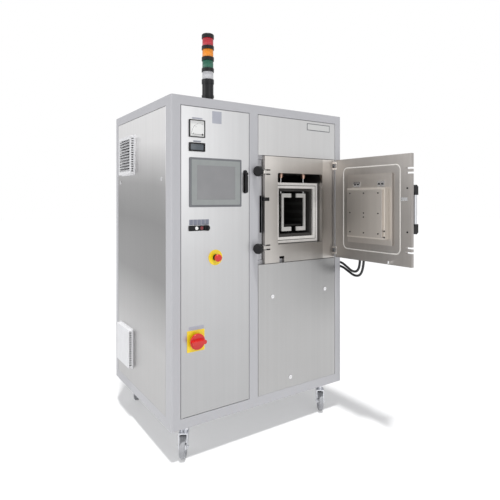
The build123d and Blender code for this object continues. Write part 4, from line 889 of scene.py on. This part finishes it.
# %% Arc and ticks
PIVOT = (METER[0] + 32, METER[1] - 32)
ARC_START, ARC_END = 92, 178  # degrees, from the last tick to the first
ARC_RADIUS, ARC_WIDTH = 66, 0.7
TICKS = 11
TICK_STEP = (ARC_END - ARC_START) / (TICKS - 1)
TICK_HALF = 0.35              # half a tick's width, in degrees
INK_DEPTH = -3.75


def strip(centre, radius, start, end, width, y, steps=24):
    """A flat arc that faces -Y: two rims of points at radius +- width / 2 over the angles."""
    angle = np.linspace(math.radians(start), math.radians(end), steps)
    rims = []
    for edge in (radius - width / 2, radius + width / 2):
        rims.append(np.stack([centre[0] + edge * np.cos(angle), np.full(steps, y),
                              centre[1] + edge * np.sin(angle)], -1))
    points = np.concatenate(rims)
    faces = [[i, i + 1, steps + i + 1, steps + i] for i in range(steps - 1)]
    return points, faces


marks = [strip(PIVOT, ARC_RADIUS, ARC_START, ARC_END, ARC_WIDTH, INK_DEPTH)]
for tick in range(TICKS):
    middle = ARC_START + tick * TICK_STEP
    radius, length = (68, 6) if tick % 5 == 0 else (67, 3.5)
    marks.append(strip(PIVOT, radius, middle - TICK_HALF, middle + TICK_HALF, length, INK_DEPTH, 2))
points, faces = merged(marks)
mesh_piece("meter_scale", metres(points), faces, INK, "control_door", False)
print("ticks", TICKS)

# %% Numbers
NUMBERS = ("0", "5", "10")
NUMBER_STEP = (ARC_END - ARC_START) / (len(NUMBERS) - 1)
NUMBER_RADIUS = 56
NUMBER_SIZE = 8


def text_piece(name, words, size, centre, material, body):
    """Flat letters that face -Y, made a mesh before they are put in place."""
    letters = bpy.data.curves.new(name, "FONT")
    letters.body = words
    letters.size = size / 1000
    letters.align_x = "CENTER"
    letters.align_y = "CENTER"
    carrier = bpy.data.objects.new(name, letters)
    bpy.context.scene.collection.objects.link(carrier)
    bpy.context.view_layer.update()
    mesh = bpy.data.meshes.new_from_object(carrier)
    bpy.data.objects.remove(carrier)
    flat = np.empty(len(mesh.vertices) * 3)
    mesh.vertices.foreach_get("co", flat)
    flat = flat.reshape(-1, 3)
    standing = np.stack([flat[:, 0], -flat[:, 2], flat[:, 1]], -1) + np.array(place(*centre))
    mesh.vertices.foreach_set("co", standing.reshape(-1))
    mesh.materials.clear()
    mesh.materials.append(material)
    mesh.update()
    piece = bpy.data.objects.new(name, mesh)
    bpy.context.scene.collection.objects.link(piece)
    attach(piece, body)
    return piece


for count, words in enumerate(NUMBERS):
    angle = math.radians(ARC_END - NUMBER_STEP * count)
    centre = (PIVOT[0] + NUMBER_RADIUS * math.cos(angle), INK_DEPTH - 0.05,
              PIVOT[1] + NUMBER_RADIUS * math.sin(angle) + 2)
    text_piece("meter_number_" + words, words, NUMBER_SIZE, centre, INK, "control_door")
print("numbers", NUMBERS)

# %% [markdown]
# ## Lenses of the signal tower
#
# Each lens is a tube of coloured plastic with fine upright ribs that spread the light of the lamp
# inside. The ribs are a wave on the radius of a turned piece. The lamps are off, so a faint glow
# is enough to keep the plastic from looking opaque.

# %% Lenses
def lens_plastic(name, colour, glow):
    """Coloured plastic under a glossy coat, with a faint glow of its own colour."""
    finish = Finish(name)
    cloud = finish.noise(18, detail=3.0)
    finish.set(Base_Color=finish.shade(colour, 0.82 + cloud * 0.36), Roughness=0.22,
               Coat_Weight=0.5, Emission_Color=(*colour, 1.0), Emission_Strength=glow)
    return finish.material


LENSES = (("white", (0.60, 0.60, 0.615), 0.0), ("green", (0.008, 0.13, 0.075), 0.02),
          ("amber", (0.86, 0.27, 0.004), 0.05), ("red", (0.50, 0.018, 0.035), 0.04))
TOWER = (273, 100)             # x and y of the tower's axis
ROOF_SHEET, TOWER_SEAT = 2, 1  # what lies between the frame and the tower
TOWER_FOOT = 130               # height of the tower's black foot with its first collar
LENS_FOOT = CABINET_HEIGHT + ROOF_SHEET + TOWER_SEAT + TOWER_FOOT
LENS_RADIUS, LENS_HEIGHT = 32, 45
LENS_PITCH = 65
RIBS, RIB_SHARE = 36, 0.012
LENS_SIDES = 6 * RIBS


def ribs(angle, radius):
    """A wave round the lens, by a share of the radius: 1 - share * (1 - cos(ribs * angle))."""
    return 1 - RIB_SHARE * (1 - np.cos(RIBS * angle))[None, :] * np.ones((len(radius), 1))


# The profile has a flat end just inside the collar, a rounded edge, and the same upside down.
for count, (name, colour, glow) in enumerate(LENSES):
    foot = LENS_FOOT + count * LENS_PITCH
    profile = [(0.01, 0.05), (30, 0.05), (LENS_RADIUS - 0.6, 0.4), (LENS_RADIUS, 2),
               (LENS_RADIUS, LENS_HEIGHT - 2), (LENS_RADIUS - 0.6, LENS_HEIGHT - 0.4),
               (30, LENS_HEIGHT - 0.05), (0.01, LENS_HEIGHT - 0.05)]
    lens_piece = turned_piece("tower_lens_" + name, profile, [(*TOWER, foot)], (0, 0, 1),
                              lens_plastic("lens_" + name, colour, glow), "cabinet",
                              LENS_SIDES, ribs)
    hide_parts("tower_lamps")
print("lenses ready", len(LENSES))

# %% [markdown]
# ## Screws and clips
#
# Socket screws hold the door's handle and the middle of the plug, and two small clips hold the
# plug's base at its edge. Each is a turned profile, and that of a screw ends in the recess of its
# head. Their places are measured on the closed door and swung open with it.

# %% Socket screws
def socket_screw(radius, height):
    """Head with a rounded rim and a recess about two thirds as deep as the head is high."""
    hole = radius * 0.48
    return [(radius, 0), (radius, height * 0.75), (radius * 0.88, height), (hole, height),
            (hole * 0.94, height * 0.35), (0.01, height * 0.35)]


def closed_to_open(x, y, z):
    """A place on the closed door, swung open with it about the hinge."""
    turn = math.radians(DOOR_ANGLE)
    dx, dy = x - HINGE[0], y - HINGE[1]
    return (HINGE[0] + dx * math.cos(turn) - dy * math.sin(turn),
            HINGE[1] + dx * math.sin(turn) + dy * math.cos(turn), z)


DOOR_OUT = (-math.sin(math.radians(DOOR_ANGLE)), math.cos(math.radians(DOOR_ANGLE)), 0)
PLUG_MIDDLE = 1162      # height of the middle of the plug
BASE_FACE, COVER_FACE = 41, 56
CLIP = [(5, 0), (5, 1.8), (3.5, 3), (0.01, 3)]
handle_screws = [closed_to_open(619, -3, z) for z in (1057, 1311)]
turned_piece("handle_screws", socket_screw(5.5, 2.5), handle_screws, DOOR_OUT, DARK_METAL,
             "vessel_door", 24)
clips = [closed_to_open(748, BASE_FACE, PLUG_MIDDLE - drop) for drop in (105, 142)]
turned_piece("plug_clips", CLIP, clips, DOOR_OUT, DARK_METAL, "vessel_door", 20)
centre_screw = closed_to_open(894, COVER_FACE, PLUG_MIDDLE - 25)
turned_piece("plug_centre_screw", socket_screw(4, 3), [centre_screw], DOOR_OUT, DARK_METAL,
             "vessel_door", 20)
print("screws ready")

# %% [markdown]
# ## Water hoses
#
# Two black rubber hoses carry cooling water from elbows on the right side of the cabinet to the
# door's jacket, with a slack loop that lets the door swing. Each is a smooth line through the air
# with a round section, and its route is the one that the solid hose follows. A simulated cord
# would hang in its own way, while these have to leave the elbows and reach the door as they do on
# the real furnace. Each route has the hose's length in metres and its points in millimetres.

# %% Hoses
HOSE_RADIUS = 8
HOSE_ROUTES = {
    "supply_hose": (0.373, [(1270, 70, 812), (1270, 15, 812), (1268, -40, 786), (1262, -98, 760),
                            (1248, -158, 770), (1221.3, -204.6, 827), (1221.3, -204.6, 887)]),
    "return_hose": (0.420, [(1270, 70, 784), (1270, 10, 784), (1272, -50, 756), (1266, -115, 732),
                            (1250, -185, 748), (1221.9, -236.6, 827), (1221.9, -236.6, 887)]),
}


def hose_piece(name, route):
    """A smooth NURBS line with the route's points as control points, and a round section."""
    line = bpy.data.curves.new(name, "CURVE")
    line.dimensions = "3D"
    line.bevel_depth = HOSE_RADIUS / 1000
    line.bevel_resolution = 6
    line.use_fill_caps = True
    spline = line.splines.new("NURBS")
    spline.points.add(len(route) - 1)
    for point, spot in zip(spline.points, route):
        point.co = (*place(*spot), 1.0)
    spline.order_u = 3
    spline.use_endpoint_u = True
    spline.resolution_u = 12
    line.materials.append(HOSE_RUBBER)
    hose = bpy.data.objects.new(name, line)
    bpy.context.scene.collection.objects.link(hose)
    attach(hose, "cabinet")
    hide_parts("door_hoses")
    place(*route[0])


for hose_name, (hose_length, hose_route) in HOSE_ROUTES.items():
    hose_piece(hose_name, hose_route)
print("hoses", len(HOSE_ROUTES))

# %% [markdown]
# ## Floor and studio
#
# The photograph stands the furnace on pure white, with one grey shadow as wide as the cabinet. A
# sun almost overhead throws that shadow. The floor mixes its lit colour with plain white, so that
# the shadow stays a mid grey, and only camera, mirror and glass rays see the white part.

# %% Floor
WHITE_SHARE = 0.33      # how much of the floor's colour is plain white
CASTOR_HEIGHT = 0.188   # metres from the floor to the frame
FLOOR_HALF = 30.0       # metres from the middle of the floor to its edges


def floor_finish():
    """Lit floor, part of whose colour is plain white for camera, mirror and glass rays."""
    net = Network(bpy.data.materials.new("studio_floor"))
    lit = net.node("ShaderNodeBsdfDiffuse", {}, {"Color": (0.9, 0.9, 0.9)})
    white = net.node("ShaderNodeEmission", {}, {"Color": (1.0, 1.0, 1.0)})
    share = net.node("ShaderNodeMixShader", {}, {0: WHITE_SHARE, 1: lit, 2: white})
    camera_ray = net.node("ShaderNodeLightPath", output="Is Camera Ray")
    mirror_ray = net.node("ShaderNodeLightPath", output="Is Glossy Ray")
    glass_ray = net.node("ShaderNodeLightPath", output="Is Transmission Ray")
    seen = camera_ray.larger(mirror_ray).larger(glass_ray)
    both = net.node("ShaderNodeMixShader", {}, {0: seen, 1: lit, 2: share})
    net.node("ShaderNodeOutputMaterial", {}, {"Surface": both})
    return net.owner


floor_height = CORNER.z - CASTOR_HEIGHT
floor_corners = [(sx * FLOOR_HALF, sy * FLOOR_HALF, floor_height)
                 for sx, sy in ((-1, -1), (1, -1), (1, 1), (-1, 1))]
floor_mesh = bpy.data.meshes.new("floor")
floor_mesh.from_pydata(floor_corners, [], [(0, 1, 2, 3)])
floor_mesh.materials.append(floor_finish())
floor = bpy.data.objects.new("floor", floor_mesh)
bpy.context.scene.collection.objects.link(floor)
print("floor at", round(floor_height, 4), "m")

# %% [markdown]
# ## Lamps
#
# A studio has one main lamp and weaker ones that fill its shadows. A sun with a small angle gives
# the shadow its soft edge. Two large square lamps lift the left side and the front, where the main
# light only grazes the panels.

# %% Sun and soft boxes
SUN_TRAVEL = Vector((0.107, 0.23, -1.0))  # its light goes down, a little back and to the right
SUN_STRENGTH = 2.6
SUN_SOFTNESS = math.radians(4)

sun = bpy.data.lights.new("overhead_sun", "SUN")
sun.energy = SUN_STRENGTH
sun.angle = SUN_SOFTNESS
sun_lamp = bpy.data.objects.new("overhead_sun", sun)
sun_lamp.rotation_euler = SUN_TRAVEL.to_track_quat("-Z", "Y").to_euler()
bpy.context.scene.collection.objects.link(sun_lamp)


def soft_box(name, spot, aim, size, power):
    """A square lamp that points from one place at another. Size in metres, power in watts."""
    light = bpy.data.lights.new(name, "AREA")
    light.size = size
    light.energy = power
    lamp = bpy.data.objects.new(name, light)
    lamp.location = place(*spot)
    lamp.rotation_euler = (place(*aim) - lamp.location).to_track_quat("-Z", "Y").to_euler()
    bpy.context.scene.collection.objects.link(lamp)


soft_box("left_soft_box", (-3600, 600, 1800), (0, 400, 900), 2.4, 34)
soft_box("front_fill", (900, -4200, 1900), (850, 0, 1000), 2.6, 22)
print("lamps ready")

# %% [markdown]
# ## The room
#
# The world is a plain grey room that lights every side alike. The camera sees white instead, as in
# the photograph, and steel mirrors something in between: with the grey room alone it would look
# dull, with pure white it would lose its tones.

# %% World
MIRROR_SHARE = 0.55  # how much white a mirror ray sees


def studio_world():
    """Camera rays see white. Mirror rays see a bright wall, and the rest a soft grey studio."""
    net = Network(bpy.data.worlds.new("studio"))
    white = net.node("ShaderNodeBackground", {}, {"Color": (1.0, 1.0, 1.0)})
    room = net.node("ShaderNodeBackground", {}, {"Color": (0.40, 0.405, 0.42)})
    camera_ray = net.node("ShaderNodeLightPath", output="Is Camera Ray")
    mirror_ray = net.node("ShaderNodeLightPath", output="Is Glossy Ray")
    share = camera_ray.larger(mirror_ray * MIRROR_SHARE)
    seen = net.node("ShaderNodeMixShader", {}, {0: share, 1: room, 2: white})
    net.node("ShaderNodeOutputWorld", {}, {"Surface": seen})
    return net.owner


bpy.context.scene.world = studio_world()
bpy.context.scene.view_settings.view_transform = "Standard"
print("studio ready")
